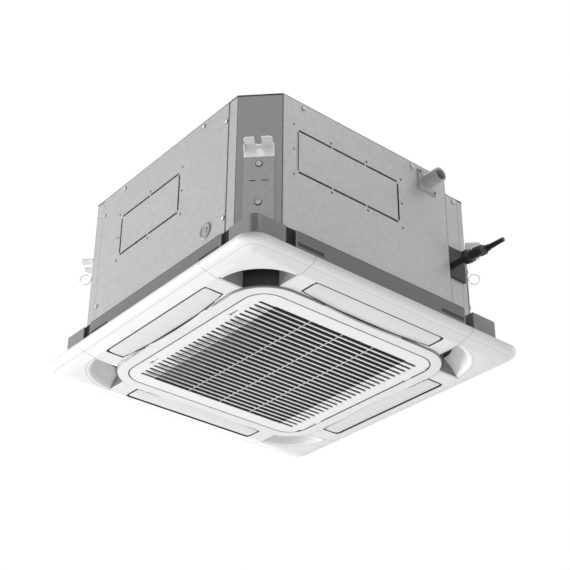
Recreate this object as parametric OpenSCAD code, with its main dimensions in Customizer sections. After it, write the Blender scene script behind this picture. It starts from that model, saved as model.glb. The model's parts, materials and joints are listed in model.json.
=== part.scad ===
// Ceiling cassette air conditioner: a steel body that hangs above a false ceiling, and a
// square panel below it with a hinged intake grille, four outlet vanes and four corner outlets.
// Millimetres, +Z up. The origin is the centre of the panel's rear edge plane, at the ceiling.
// +X is the piping side. The sides are right (+X), rear (+Y), left (-X) and front (-Y).

/* [Panel] */
// Side of the square panel
panel_w = 650; // [644:1:664]
// Corner radius of the panel's rim
panel_corner_r = 36; // [33:1:38]
// Wall of the panel moulding
panel_wall = 2.6; // [2.2:0.1:3]
// Straight height of the rim against the ceiling
rim_h = 3; // [2:0.5:5]
// Width of the rim's rolled edge
rim_roll_w = 15; // [12:0.5:17]
// Height of the rim's rolled edge
rim_roll_h = 9.8; // [8.5:0.1:11]
// Fall of the face from the rolled edge to the outlets
face_fall = 5.7; // [4.5:0.1:7]
// Half width of the raised ring round the grille
ring_half = 241; // [239:0.5:242]
// Width of the raised ring
ring_w = 26.3; // [25:0.1:27]
// Height of the ring below the face
ring_proud = 3.4; // [2.5:0.1:5]
// Corner radius of the ring
ring_corner_r = 80; // [76:1:84]
// Corner radius of the grille opening
opening_corner_r = 45; // [42:1:50]
// Distance from the centre of the seams of the corner covers
cover_seam_at = 188; // [187:0.5:189]
// Gap at the seams of the corner covers
cover_gap = 0.3; // [0.2:0.05:0.5]

/* [Vanes] */
// Distance of the vane's outer edge from the centre
vane_outer = 284; // [283:0.5:285]
// Depth of the vane at its ends
vane_depth = 36; // [35:0.5:38]
// Bulge of the vane's inner edge
vane_bulge = 11.5; // [9:0.5:12]
// Length of the vane
vane_len = 302; // [290:1:306]
// Thickness of the vane blade
vane_t = 2.2; // [1.8:0.1:2.6]
// Radius of the vane's crown
vane_crown_r = 220; // [180:5:400]
// Gap round the vane
vane_gap = 2; // [1.8:0.1:2.4]
// Distance of the pivot from the vane's inner end corner
pivot_in = 8; // [7:0.5:10]
// Height of the pivot above the vane's underside
pivot_up = 7; // [6.8:0.1:7.5]
// Radius of the pivot pins
pin_r = 2.5; // [2:0.1:3]
// Height of the outlet collar above the face
collar_h = 15; // [14:0.5:16]

/* [Corner outlets] */
// Place of the centre of each corner recess, on both axes
recess_c = 191; // [190.5:0.5:192]
// Radius of the corner recess
recess_r = 96; // [93:0.5:97]
// Width of the sloping ledge inside the recess
ledge_w = 15; // [12:0.5:18]
// Rise of the sloping ledge
ledge_rise = 7; // [5:0.5:9]

/* [Intake grille] */
// Gap between the grille and the ring
grille_seam = 1.2; // [1:0.1:1.6]
// Thickness of the grille border
grille_t = 3; // [2.5:0.1:3.5]
// Height of the grille's rim
grille_rim_h = 13; // [12:0.5:15]
// Number of air gaps between the slats
slat_gap_count = 27; // [20:1:28]
// Pitch of the slats
slat_pitch = 13.7; // [12.5:0.1:14]
// Thickness of a slat
slat_t = 4.1; // [3:0.1:5]
// Depth of a slat
slat_depth = 10; // [8.5:0.5:11]
// Half length of the open air gaps
slat_open_half = 156; // [145:1:160]
// Length of the narrow tapering end of each gap
slit_len = 33; // [25:1:35]
// Spacing of the cross ribs
rib_pitch = 75; // [60:1:76]
// Distance of the hinge notches from the middle
hinge_at = 130; // [100:1:150]
// Distance of the latches from the middle
latch_at = 120; // [90:1:140]
// Travel of the latches
latch_travel = 6; // [5:0.5:7]

/* [Filter] */
// Thickness of the filter frame
filter_t = 4; // [3:0.5:5]
// Width of the filter frame
filter_frame_w = 9; // [7:0.5:11]

/* [Casing] */
// Side of the square steel body
body_w = 575; // [572:1:578]
// Height of the steel body
body_h = 282; // [278:1:298]
// Height of the body's underside above the ceiling
body_z = 62; // [62:0.5:66]
// Cut of the body's corners
chamfer = 58; // [55:0.5:60]
// Thickness of the sheet steel
sheet = 1; // [0.8:0.1:1.2]
// Flange that the corner posts show beside the front panel
post_show = 24.5; // [20:0.5:28]
// Overlap of the side panels on the posts
post_lap = 12; // [10:0.5:15]
// Inward hem at the bottom of the sheets
hem_w = 10; // [8:0.5:10]
// Place of the step to the piping recess
recess_y = 179; // [170:0.5:180]
// Depth of the piping recess
recess_depth = 33.5; // [30:0.5:34]
// Thickness of the wall insulation
foam_t = 8; // [6:0.5:9]

/* [Knock-outs] */
// Width of the front knock-out
front_ko_w = 190; // [170:1:200]
// Height of the front knock-out
front_ko_h = 87; // [75:1:90]
// Place of the front knock-out along its side
front_ko_at = -36; // [-45:1:-20]
// Width of the right knock-out
right_ko_w = 244; // [220:1:250]
// Height of the right knock-out
right_ko_h = 90; // [75:1:92]
// Place of the right knock-out along its side
right_ko_at = -73; // [-80:1:-68]
// Radius of the fresh air cap
cap_r = 17; // [14:0.5:18]

/* [Hangers] */
// Pitch of the suspension bolts
hanger_pitch = 534; // [530:1:536]
// Width of the suspension slot
slot_w = 12; // [10.5:0.5:13]
// Width of the hanger tab
tab_w = 50; // [46:1:54]
// Reach of the hanger tab from the corner post
tab_reach = 30; // [26:1:34]
// Thickness of the hanger steel
hanger_t = 2.5; // [2:0.1:3]
// Width of the hanger plate
hanger_w = 54; // [50:1:58]
// Height of the tabs' underside above the body's underside
tab_up = 164; // [150:1:172]

/* [Pipes and drain] */
// Radius of the gas pipe
gas_r = 6.35; // [5.5:0.05:7]
// Radius of the liquid pipe
liquid_r = 3.2; // [3:0.05:4]
// Width across flats of the gas flare nut
gas_nut_af = 26; // [24:0.5:28]
// Width across flats of the liquid flare nut
liquid_nut_af = 18; // [16:0.5:20]
// Reach of the gas stub from the recess
gas_reach = 84; // [76:1:88]
// Reach of the liquid stub from the recess
liquid_reach = 116; // [108:1:120]
// Outer radius of the drain spigot
drain_r = 14.5; // [13:0.5:16]
// Bore radius of the drain spigot
drain_bore_r = 11.5; // [9:0.5:12]
// Reach of the drain spigot from the casing
drain_reach = 38; // [34:1:42]

/* [Fan and motor] */
// Outer radius of the fan
fan_r = 150; // [144:1:152]
// Inlet radius of the fan
fan_inlet_r = 108; // [102:1:110]
// Height of the fan
fan_h = 130; // [120:1:134]
// Number of fan blades
blade_count = 7; // [6:1:9]
// Radius of the motor
motor_r = 50; // [46:0.5:52]
// Height of the motor
motor_h = 52; // [48:1:56]
// Radius of the motor shaft
shaft_r = 5; // [4.5:0.1:5.5]
// Running gap between bell mouth and fan
bell_gap = 4; // [3:0.5:5]

/* [Coil and drain tray] */
// Thickness of the coil
coil_t = 30; // [26:1:32]
// Distance of the coil's outer face from the centre
coil_outer = 232; // [229:0.5:233]
// Outer bend radius of the coil
coil_bend_r = 46; // [44:1:50]
// Half width of the drain tray
tray_half = 242; // [240:0.5:242]
// Height of the drain tray
tray_h = 40; // [36:1:44]
// Travel of the float
float_travel = 8; // [6:0.5:10]

/* [Back frame] */
// Height of the upstand above the panel
upstand_h = 60; // [58:0.5:61]
// Distance of the upstand's outer face beyond the steel body
upstand_out = 6.5; // [6:0.5:9]
// Wall of the upstand
upstand_wall = 4; // [3:0.2:4.4]
// Half length of the rails
rail_half = 204; // [190:1:208]
// Gap between the rails and the corner blocks
rail_gap = 22; // [18:1:24]
// Outer corner radius of the corner blocks
block_r = 14; // [10:1:18]
// Reach of the frame's foot beyond the upstand
foot_w = 9; // [6:0.5:10]

/* [Hidden] */
$fn = 64;
over = 1;
near = 0.3;
ring_round = 2.4;
rim_rib_t = 1.8;
rim_rib_count = 9;
vane_corner_r = 8;
hinge_len = 16;
hinge_pin_r = 1.5;
net_t = 0.8;
perf_w = 3;
bridge = 4.5;
pilot_r = 1.7;
foot_t = 5;
fan_wall = 2.2;
blade_t = 2.4;
tray_floor = 12;
pin_clear = 0.05;
rib_t = 2.2;
slit_w = 5.6;
outlet_wall = 2;
white = [0.94, 0.94, 0.94];
zinc = [0.76, 0.76, 0.77];
dark = [0.3, 0.3, 0.31];
black = [0.09, 0.09, 0.1];

panel_half = panel_w / 2;
face_half = panel_half - panel_corner_r;
crease_half = panel_half - rim_roll_w;
face_z = -(rim_h + rim_roll_h + face_fall);
plate_z = face_z + panel_wall;
ring_z = face_z - ring_proud;
ring_c = ring_half - ring_corner_r;
opening_half = ring_half - ring_w;
vane_inner = vane_outer - vane_depth;
vane_mid = vane_inner - vane_bulge;
bulge_r = (pow(vane_len / 2, 2) + pow(vane_bulge, 2)) / (2 * vane_bulge);
pivot_v = vane_inner + pivot_in;
pivot_z = face_z + pivot_up;
body_half = body_w / 2;
body_top = body_z + body_h;
recess_x = body_half - recess_depth;
diagonal = (2 * body_half - chamfer) / sqrt(2);

// A square outline with round corners, centred
module rounded_plan(half, r) {
    square([2 * half, 2 * (half - r)], center = true);
    square([2 * (half - r), 2 * half], center = true);
    for (x = [-1, 1], y = [-1, 1]) translate([x * (half - r), y * (half - r)]) circle(r);
}

// A slab of that outline between two heights
module rounded_slab(half, r, z0, z1) {
    translate([0, 0, z0]) linear_extrude(z1 - z0) rounded_plan(half, r);
}

// Runs a wall profile, drawn as distance from the centre and height, round a square
module swept_wall(c) {
    for (k = [0:3]) rotate(90 * k) {
        rotate([90, 0, 0]) linear_extrude(2 * c, center = true) children();
        translate([c, c, 0]) rotate_extrude(angle = 90) translate([-c, 0]) children();
    }
}

// A box given by its lowest and highest corners
module span(lo, hi) {
    translate(lo) cube(hi - lo);
}

// Turns a piece drawn for the right side to another side, counted anticlockwise
module on_side(k) {
    rotate(90 * k) children();
}

// Turns a piece drawn along the diagonal of the rear right corner to another corner
module on_corner(k) {
    rotate(45 + 90 * k) children();
}

// Panel

roll_steps = 6;
function rolled_edge(w, h) = [
    for (a = [0:90 / roll_steps:90]) [crease_half + w * cos(a), -rim_h - h * sin(a)]
];
function reversed(list) = [for (i = [len(list) - 1:-1:0]) list[i]];

module rim_profile() {
    polygon(concat(
        [[panel_half, 0]],
        rolled_edge(rim_roll_w, rim_roll_h),
        [[face_half, face_z], [face_half, plate_z]],
        reversed(rolled_edge(rim_roll_w - panel_wall, rim_roll_h - panel_wall)),
        [[panel_half - panel_wall, 0]]
    ));
}

soft_share = 0.3;

module ring_profile() {
    soft = ring_round * soft_share;
    polygon([
        [ring_half, plate_z], [ring_half, ring_z + ring_round], [ring_half - soft, ring_z + soft],
        [ring_half - ring_round, ring_z], [ring_c, ring_z], [ring_c, ring_z + panel_wall],
        [ring_half - panel_wall, ring_z + panel_wall], [ring_half - panel_wall, plate_z]
    ]);
}

// The whole skin of the panel without its openings
module panel_skin() {
    swept_wall(face_half) rim_profile();
    span([-face_half, -face_half, face_z], [face_half, face_half, plate_z]);
}

// Plan of a vane on the right side, grown by a gap
module vane_plan(grow) {
    x0 = vane_mid - grow;
    x1 = vane_outer + grow;
    y = vane_len / 2 + grow;
    r = vane_corner_r + grow;
    intersection() {
        translate([vane_mid + bulge_r, 0]) circle(bulge_r + grow, $fn = 360);
        union() {
            translate([x0, -(y - r)]) square([r, 2 * (y - r)]);
            translate([x0 + r, -y]) square([x1 - x0 - r, 2 * y]);
            for (s = [-1, 1]) translate([x0 + r, s * (y - r)]) circle(r);
        }
    }
}

module recess_plan() {
    translate([recess_c, recess_c]) intersection() {
        circle(recess_r, $fn = 128);
        square(recess_r);
    }
}

// The zone of a corner cover, outside the recess
module cover_plan(gap) {
    at = cover_seam_at + gap;
    difference() {
        translate([at, at]) square(panel_half);
        translate([recess_c, recess_c]) circle(recess_r, $fn = 128);
    }
}

collar_wall = panel_wall;
collar_relief = 0.8;
opening_wall_top = ring_z + grille_rim_h + filter_t;
ring_lip_up = 6;
deep = panel_half;
rib_top = 0;

// Walls round a vane's slot, drawn for the right side
module outlet_collar() {
    difference() {
        union() {
            translate([0, 0, face_z]) linear_extrude(collar_h) vane_plan(vane_gap + collar_wall);
            intersection() {
                translate([0, 0, ring_z]) linear_extrude(ring_proud) vane_plan(vane_gap + collar_wall);
                rounded_slab(ring_half, ring_corner_r, ring_z, face_z);
            }
        }
        translate([0, 0, ring_z - over]) linear_extrude(collar_h + deep) vane_plan(vane_gap);
    }
}

module vane_slot() {
    translate([0, 0, ring_z - over]) linear_extrude(collar_h + deep) vane_plan(vane_gap);
    translate([0, 0, plate_z + over]) linear_extrude(deep) vane_plan(vane_gap + collar_relief);
}

// Ribs between the face and the ceiling line, behind one side of the rim
module rim_ribs() {
    step = 2 * cover_seam_at / (rim_rib_count + 1);
    for (i = [1:rim_rib_count]) translate([0, -cover_seam_at + i * step, 0])
        rotate([90, 0, 0]) linear_extrude(rim_rib_t, center = true) polygon([
            [vane_outer + vane_gap + collar_wall, plate_z], [face_half, plate_z],
            [crease_half, -rim_h - rim_roll_h + panel_wall], [crease_half, rib_top],
            [vane_outer + vane_gap + collar_wall, rib_top]
        ]);
}

hinge_y = opening_half - grille_seam - grille_t;
hinge_z = ring_z + grille_t;
ear_r = grille_t - near;

// Ears on the panel that carry the grille's pins
module hinge_ears() {
    for (s = [-1, 1]) translate([s * hinge_at - hinge_len / 2, hinge_y, hinge_z]) rotate([90, 0, 90])
        difference() {
            union() {
                linear_extrude(hinge_len) circle(ear_r);
                linear_extrude(hinge_len) translate([0, -ear_r])
                    square([grille_t + grille_seam + panel_wall, 2 * ear_r]);
            }
            translate([0, 0, -over]) linear_extrude(hinge_len + 2 * over) circle(hinge_pin_r + pin_clear);
        }
}

window_w = 44;
window_d = 9;
window_shift = 1.5;
window_v = (ring_half - ring_round + opening_half) / 2 - window_shift;
window_gap = 0.2;

module window_plan(grow) {
    r = window_d / 2 + grow;
    translate([0, -window_v]) {
        square([window_w - window_d, 2 * r], center = true);
        for (s = [-1, 1]) translate([s * (window_w - window_d) / 2, 0]) circle(r);
    }
}

module panel_frame() {
    color(white) {
        difference() {
            union() {
                difference() {
                    panel_skin();
                    rounded_slab(ring_half - panel_wall, ring_corner_r - panel_wall, face_z - over,
                        plate_z + over);
                }
                swept_wall(ring_c) ring_profile();
                difference() {
                    rounded_slab(ring_half, ring_corner_r, plate_z, plate_z + ring_lip_up);
                    rounded_slab(ring_half - panel_wall, ring_corner_r - panel_wall, plate_z - over,
                        plate_z + ring_lip_up + over);
                }
                rounded_slab(opening_half + panel_wall, opening_corner_r + panel_wall, ring_z,
                    opening_wall_top);
                for (k = [0:3]) on_side(k) {
                    outlet_collar();
                    rim_ribs();
                }
            }
            rounded_slab(opening_half, opening_corner_r, ring_z - over, opening_wall_top + over);
            for (k = [0:3]) on_side(k) {
                vane_slot();
                translate([pivot_v, 0, pivot_z]) rotate([90, 0, 0])
                    cylinder(vane_len + 2 * (vane_gap + collar_wall + over), pin_r + pin_clear,
                        pin_r + pin_clear, center = true);
                translate([0, 0, face_z - over]) linear_extrude(deep) difference() {
                    recess_plan();
                    rounded_plan(ring_half, ring_corner_r);
                }
                translate([0, 0, -deep]) linear_extrude(2 * deep) cover_plan(0);
            }
            translate([0, 0, ring_z - over]) linear_extrude(panel_wall + 2 * over) window_plan(window_gap);
        }
        hinge_ears();
    }
}

// The cover over one corner of the panel, from rim to recess
module corner_cover(k) {
    color(white) on_side(k) intersection() {
        panel_skin();
        translate([0, 0, -deep]) linear_extrude(2 * deep) cover_plan(cover_gap);
    }
}

module corner_cover_rear_right() {
    corner_cover(0);
}

module corner_cover_rear_left() {
    corner_cover(1);
}

module corner_cover_front_left() {
    corner_cover(2);
}

module corner_cover_front_right() {
    corner_cover(3);
}

module indicator_window() {
    flange = 2;
    color([0.86, 0.87, 0.87]) {
        translate([0, 0, ring_z]) linear_extrude(panel_wall) window_plan(0);
        translate([0, 0, ring_z + panel_wall]) linear_extrude(panel_wall / 2) window_plan(flange);
    }
}

guide_rise = 24;
guide_top = face_z + ledge_rise + guide_rise;
guide_lean = 7;
ramp_len = 24;
ramp_rise = 15;
outlet_flange = face_half - recess_c - recess_r - near;

// A corner outlet: a sloping ledge, a tall curved guide and a ramp at each end
module corner_outlet() {
    r0 = recess_r - near;
    r1 = recess_r - ledge_w;
    z1 = face_z + ledge_rise;
    w = outlet_wall;
    difference() {
        translate([recess_c, recess_c, 0]) intersection() {
            union() {
                rotate_extrude(angle = 90, $fn = 128) polygon([
                    [r0, face_z], [r1, z1], [r1 - guide_lean, guide_top], [r1 - guide_lean + w, guide_top],
                    [r1 + w, z1 + w], [r0 - w, plate_z + w], [recess_r + outlet_flange, plate_z + w],
                    [recess_r + outlet_flange, plate_z], [r0, plate_z]
                ]);
                intersection() {
                    union() {
                        outlet_ramp();
                        mirror([1, -1, 0]) outlet_ramp();
                    }
                    translate([0, 0, face_z]) cylinder(2 * deep, r1 + w, r1 + w, $fn = 128);
                }
                for (m = [0, 1]) mirror([m, -m, 0]) intersection() {
                    span([near, 0, face_z], [near + w, deep, guide_top]);
                    translate([0, 0, face_z]) cylinder(2 * deep, r1, r0 - w, $fn = 128);
                }
            }
            translate([near, near, face_z]) cube(2 * deep);
        }
        rounded_slab(ring_half + near, ring_corner_r + near, face_z - over, guide_top + over);
    }
}

module outlet_ramp() {
    rotate([90, 0, 0]) translate([0, 0, -deep]) linear_extrude(deep) polygon([
        [near, face_z], [ramp_len, face_z + ramp_rise], [ramp_len, face_z + ramp_rise + outlet_wall],
        [near, face_z + outlet_wall]
    ]);
}

// Room behind the curved guides
module outlet_spaces() {
    r = recess_r - ledge_w + outlet_wall + near;
    for (k = [0:3]) on_side(k) translate([recess_c, recess_c, 0]) cylinder(guide_top + near, r, r, $fn = 128);
}

module corner_outlets() {
    color([0.8, 0.8, 0.81]) for (k = [0:3]) on_side(k) corner_outlet();
}

// Vanes and their motors

lug_t = 2;
lug_r = 4.5;
pin_out = 6;
spine_t = 1.6;
vane_sink = vane_depth * vane_depth / (8 * vane_crown_r);

// A vane with its end lugs and pivot pins, drawn for the right side
module vane(k) {
    mid = (vane_mid + vane_outer) / 2;
    end = vane_len / 2;
    pin_end = end + vane_gap + collar_wall + pin_out;
    lug_low = vane_t / 2 + vane_sink - pivot_up;
    color([0.88, 0.88, 0.88]) on_side(k) {
        intersection() {
            translate([0, 0, face_z]) linear_extrude(pivot_up) vane_plan(0);
            translate([mid, 0, face_z + vane_crown_r]) rotate([90, 0, 0]) difference() {
                cylinder(2 * end, vane_crown_r, vane_crown_r, center = true, $fn = 360);
                cylinder(2 * (end + over), vane_crown_r - vane_t, vane_crown_r - vane_t, center = true,
                    $fn = 360);
            }
        }
        span([pivot_v - spine_t / 2, -end + lug_t, face_z + vane_t / 2],
            [pivot_v + spine_t / 2, end - lug_t, pivot_z - pin_r]);
        for (s = [-1, 1]) {
            translate([pivot_v, s * (end - lug_t / 2), pivot_z]) rotate([90, 0, 0])
                linear_extrude(lug_t, center = true) {
                    circle(lug_r);
                    translate([-lug_r, lug_low]) square([2 * lug_r, -lug_low]);
                }
            translate([pivot_v, s * (end - lug_t / 2 + pin_end) / 2, pivot_z]) rotate([90, 0, 0])
                cylinder(pin_end - end + lug_t / 2, pin_r, pin_r, center = true);
        }
    }
}

module vane_right() {
    vane(0);
}

module vane_rear() {
    vane(1);
}

module vane_left() {
    vane(2);
}

module vane_front() {
    vane(3);
}

motor_can_r = 12;
motor_can_l = 17;
motor_offset = 8;
motor_boss_r = 4.4;
motor_ear_t = 1;

// A stepper motor with an offset shaft socket for one vane, drawn for the right side
module vane_motor() {
    start = vane_len / 2 + vane_gap + collar_wall;
    boss = 2;
    translate([pivot_v, start, pivot_z]) rotate([-90, 0, 0]) difference() {
        union() {
            cylinder(boss + over, motor_boss_r, motor_boss_r);
            translate([0, -motor_offset, boss]) cylinder(motor_can_l, motor_can_r, motor_can_r);
            translate([-motor_can_r - motor_ear_t * 4, -motor_offset - motor_boss_r, boss])
                cube([2 * motor_can_r + motor_ear_t * 8, 2 * motor_boss_r, motor_ear_t]);
        }
        translate([0, 0, -over]) cylinder(pin_out + near + over, pin_r + pin_clear, pin_r + pin_clear);
    }
    translate([pivot_v - motor_boss_r, start, plate_z])
        cube([2 * motor_boss_r, boss + motor_can_l / 2, pivot_up - panel_wall + motor_offset - motor_can_r]);
}

module vane_motors() {
    color([0.75, 0.76, 0.78]) for (k = [0:3]) on_side(k) vane_motor();
}

// Intake grille, filter and latches

grille_half = opening_half - grille_seam;
grille_r = opening_corner_r - grille_seam;
field_half = slat_gap_count * slat_pitch / 2;
field_half_y = slat_open_half + slit_len;
slat_top = ring_z + slat_depth;
rib_z = ring_z + near;
rib_h = 3;
net_z = slat_top + rib_h;

// One air gap: an open slot with a narrow tapering end at each side
module slat_gap() {
    open = slat_pitch - slat_t;
    span([-open / 2, -slat_open_half, ring_z - over], [open / 2, slat_open_half, slat_top + over]);
    for (s = [0, 1]) mirror([0, s, 0]) translate([-slit_w / 2, 0, 0]) rotate([90, 0, 90])
        linear_extrude(slit_w) polygon([
            [slat_open_half - over, ring_z - over], [field_half_y, ring_z - over],
            [field_half_y, ring_z + over], [slat_open_half, slat_top + over],
            [slat_open_half - over, slat_top + over]
        ]);
}

module grille_body() {
    rim = grille_t - grille_seam / 2;
    rounded_slab(grille_half, grille_r, ring_z, ring_z + grille_t);
    difference() {
        rounded_slab(grille_half, grille_r, ring_z, ring_z + grille_rim_h);
        rounded_slab(grille_half - rim, grille_r - rim, ring_z + over, ring_z + grille_rim_h + over);
    }
    span([-field_half, -field_half_y, ring_z], [field_half, field_half_y, slat_top]);
}

latch_l = 24;
latch_tab = 6;
latch_edge = 6;
latch_t = 2.4;
latch_nose_w = 12;
latch_nose = 0.8;
latch_clear = 0.3;
latch_guide = 1.6;
latch_z = ring_z + grille_t + near;
latch_y = grille_half - latch_edge;
rim_wall = grille_t - grille_seam / 2;
wall_t = 2;
wall_y = hinge_y - near;
notch_w = hinge_len + 2 * near;

// Place where the opening's rounded corner comes forward to a depth
function corner_x(y) = opening_half - opening_corner_r
    + sqrt(pow(opening_corner_r, 2) - pow(y - opening_half + opening_corner_r, 2));
swing_x0 = corner_x(grille_half) - near;
swing_x1 = corner_x(hinge_y) + near;

// Relief at the rear corners, so that the grille can swing
module swing_cut() {
    for (s = [0, 1]) mirror([s, 0, 0]) translate([0, opening_half, 0]) rotate([90, 0, 0])
        linear_extrude(opening_half - hinge_y + grille_t + over) polygon([
            [swing_x0, ring_z - over], [swing_x0, ring_z + near], [swing_x1, hinge_z + near],
            [swing_x1 + grille_t, hinge_z + grille_t], [grille_half, hinge_z + grille_t],
            [grille_half, ring_z - over]
        ]);
}

// Window and nose hole for a latch at the front edge
module latch_cut() {
    w = latch_l / 2 + latch_clear;
    n = latch_nose_w / 2 + latch_clear;
    span([-w, -latch_y - latch_clear, ring_z - over],
        [w, -latch_y + latch_tab + latch_travel + latch_clear, ring_z + grille_t + over]);
    span([-n, -grille_half - over, latch_z - latch_clear],
        [n, -grille_half + rim_wall + over, latch_z + latch_t + latch_clear]);
}

// Rails that hold a latch against the back of the border
module latch_guides() {
    w = latch_l / 2 + latch_guide + latch_clear;
    y0 = -latch_y - latch_clear;
    y1 = -latch_y + latch_tab + latch_travel;
    z1 = latch_z + latch_t + latch_clear;
    for (s = [0, 1]) mirror([s, 0, 0]) {
        span([w, y0, ring_z + grille_t - near], [w + latch_guide, y1, z1 + latch_guide]);
        span([w - 2 * latch_guide, y0, z1], [w + near, y1, z1 + latch_guide]);
    }
}

// Grille with slats, cross ribs, hinge pins and latch guides
module intake_grille() {
    color(white) {
        difference() {
            grille_body();
            for (i = [0:slat_gap_count - 1])
                translate([-field_half + (i + 1 / 2) * slat_pitch, 0, 0]) slat_gap();
            span([-grille_half, hinge_y, hinge_z], [grille_half, opening_half, ring_z + grille_rim_h + over]);
            difference() {
                span([-grille_half, hinge_y, ring_z - over], [grille_half, opening_half, hinge_z + over]);
                translate([0, hinge_y, hinge_z]) rotate([0, 90, 0])
                    cylinder(2 * grille_half, grille_t, grille_t, center = true);
            }
            for (s = [-1, 1])
                translate([s * hinge_at - notch_w / 2, hinge_y - grille_t - near, ring_z - over])
                    cube([notch_w, grille_half, grille_rim_h + 2 * over]);
            for (s = [-1, 1]) translate([s * latch_at, 0, 0]) latch_cut();
            swing_cut();
        }
        for (s = [-1, 1]) translate([s * hinge_at, hinge_y, hinge_z]) rotate([0, 90, 0])
            cylinder(notch_w + 2 * over, hinge_pin_r, hinge_pin_r, center = true);
        for (s = [0, 1]) mirror([s, 0, 0]) {
            for (x = [[hinge_at + notch_w / 2, swing_x0], [0, hinge_at - notch_w / 2]])
                span([x[0], wall_y - wall_t, ring_z + over], [x[1], wall_y, ring_z + grille_rim_h]);
        }
        for (i = [-1:1]) span([-field_half, i * rib_pitch - rib_t / 2, rib_z],
            [field_half, i * rib_pitch + rib_t / 2, net_z]);
        for (s = [-1, 1]) translate([s * latch_at, 0, 0]) latch_guides();
    }
}

grip = 0.8;
grip_share = 0.7;

module grille_latch(s) {
    w = latch_l / 2;
    color(white) translate([s * latch_at, 0, 0]) {
        difference() {
            span([-w, -latch_y, ring_z], [w, -latch_y + latch_tab, latch_z + near]);
            for (i = [1:3]) translate([0, -latch_y + i * latch_tab / 4, ring_z]) rotate([0, 90, 0])
                cylinder(latch_l * grip_share, grip / 2, grip / 2, center = true);
        }
        span([-w, -latch_y, latch_z], [w, -latch_y + latch_tab + latch_travel, latch_z + latch_t]);
        span([-latch_nose_w / 2, -grille_half - latch_nose, latch_z],
            [latch_nose_w / 2, -latch_y + near, latch_z + latch_t]);
    }
}

module grille_latch_left() {
    grille_latch(-1);
}

module grille_latch_right() {
    grille_latch(1);
}

filter_z = net_z + near;
filter_half = field_half_y + filter_frame_w;
filter_bars = 4;
bar_w = 3;

// Filter: a thin net in a frame with bars, lying on the grille's cross ribs
module air_filter() {
    h = filter_half;
    inner = filter_half - filter_frame_w;
    color([0.2, 0.2, 0.21]) {
        difference() {
            span([-h, -h, filter_z], [h, h, filter_z + filter_t]);
            span([-inner, -inner, filter_z - over], [inner, inner, filter_z + filter_t + over]);
        }
        span([-inner - near, -inner - near, filter_z], [inner + near, inner + near, filter_z + net_t]);
        for (i = [1:filter_bars]) {
            at = -inner + i * 2 * inner / (filter_bars + 1);
            for (m = [0, 1]) mirror([m, -m, 0])
                span([at - bar_w / 2, near - h, filter_z],
                    [at + bar_w / 2, h - near, filter_z + filter_t / 2]);
        }
    }
}

// Back frame

upstand_half = body_half + upstand_out;
foot_half = upstand_half + foot_w;
block_from = rail_half + rail_gap;
bolt_in = 9.5;
bolt_at = (panel_half + block_from) / 2 - bolt_in;
bolt_r = 3;
bolt_clear = 0.5;
pad_gap = 2.5;
pad_from = recess_c + (recess_r - ledge_w) * sin(45) + pad_gap;
rail_slot_h = 3;
rail_slot_l = 46;

// Foot on the panel's ribs, and four rails that rise to the steel body
module back_frame() {
    inner = upstand_half - upstand_wall;
    color(dark) {
        difference() {
            rounded_slab(foot_half, panel_corner_r - rim_roll_w, 0, foot_t);
            difference() {
                translate([0, 0, -over]) linear_extrude(foot_t + 2 * over) square(2 * inner, center = true);
                for (k = [0:3]) on_side(k) span([pad_from, pad_from, -over], [inner, inner, foot_t + over]);
            }
            for (k = [0:3]) on_side(k) translate([bolt_at, bolt_at, -over])
                cylinder(foot_t + 2 * over, bolt_r + bolt_clear, bolt_r + bolt_clear);
        }
        for (k = [0:3]) on_side(k) difference() {
            span([inner, -rail_half, foot_t - near], [upstand_half, rail_half, upstand_h]);
            for (s = [0, 1]) mirror([0, s, 0])
                span([inner - over, rail_half - rail_slot_l, foot_t],
                    [upstand_half + over, rail_half + over, foot_t + rail_slot_h]);
        }
        for (k = [0:3]) on_side(k) for (i = [-1, 1])
            span([upstand_half - near, i * rail_half / 2 - upstand_wall / 2, foot_t - near],
                [upstand_half + foot_w / 2, i * rail_half / 2 + upstand_wall / 2, foot_t + foot_w / 2]);
    }
}

// Rounded block on the foot at one corner, with a cap and a bolt tube
module corner_block() {
    w = upstand_wall;
    top = upstand_h - near;
    difference() {
        intersection() {
            rounded_slab(upstand_half, block_r, foot_t, top);
            span([block_from, block_from, foot_t], [upstand_half, upstand_half, top]);
        }
        difference() {
            intersection() {
                rounded_slab(upstand_half - w, block_r - w, foot_t - over, top - w);
                span([block_from - over, block_from - over, 0], [upstand_half, upstand_half, top]);
            }
            for (m = [0, 1]) mirror([m, -m, 0])
                span([pad_from + w, block_from, foot_t], [upstand_half, block_from + w, top]);
            translate([bolt_at, bolt_at, 0]) cylinder(top, bolt_r + bolt_clear + w, bolt_r + bolt_clear + w);
        }
        translate([bolt_at, bolt_at, 0]) cylinder(top + over, bolt_r + bolt_clear, bolt_r + bolt_clear);
    }
}

module corner_blocks() {
    color(dark) difference() {
        for (k = [0:3]) on_side(k) corner_block();
        outlet_spaces();
        translate([0, 0, foot_t - over]) linear_extrude(upstand_h) casing_plan(upstand_wall - upstand_out);
    }
}

// Outline of the steel body, moved in by a distance
module casing_plan(in) {
    h = body_half - in;
    c = body_half - chamfer - in * (sqrt(2) - 1);
    rx = recess_x - in;
    ry = recess_y - in;
    polygon([
        [h, -c], [h, ry], [rx, ry], [rx, h + c - rx], [c, h], [-c, h], [-h, c], [-h, -c], [-c, -h], [c, -h]
    ]);
}

// A wall that follows the body's outline between two insets and two heights
module casing_wall(in0, in1, z0, z1) {
    translate([0, 0, z0]) linear_extrude(z1 - z0) difference() {
        casing_plan(in0);
        casing_plan(in1);
    }
}

shroud_gap = 1.4;
shroud_half = vane_mid - vane_gap - collar_wall - shroud_gap;
shroud_wall = 4;
shroud_r = 70;
lining_wall = 3;

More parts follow.
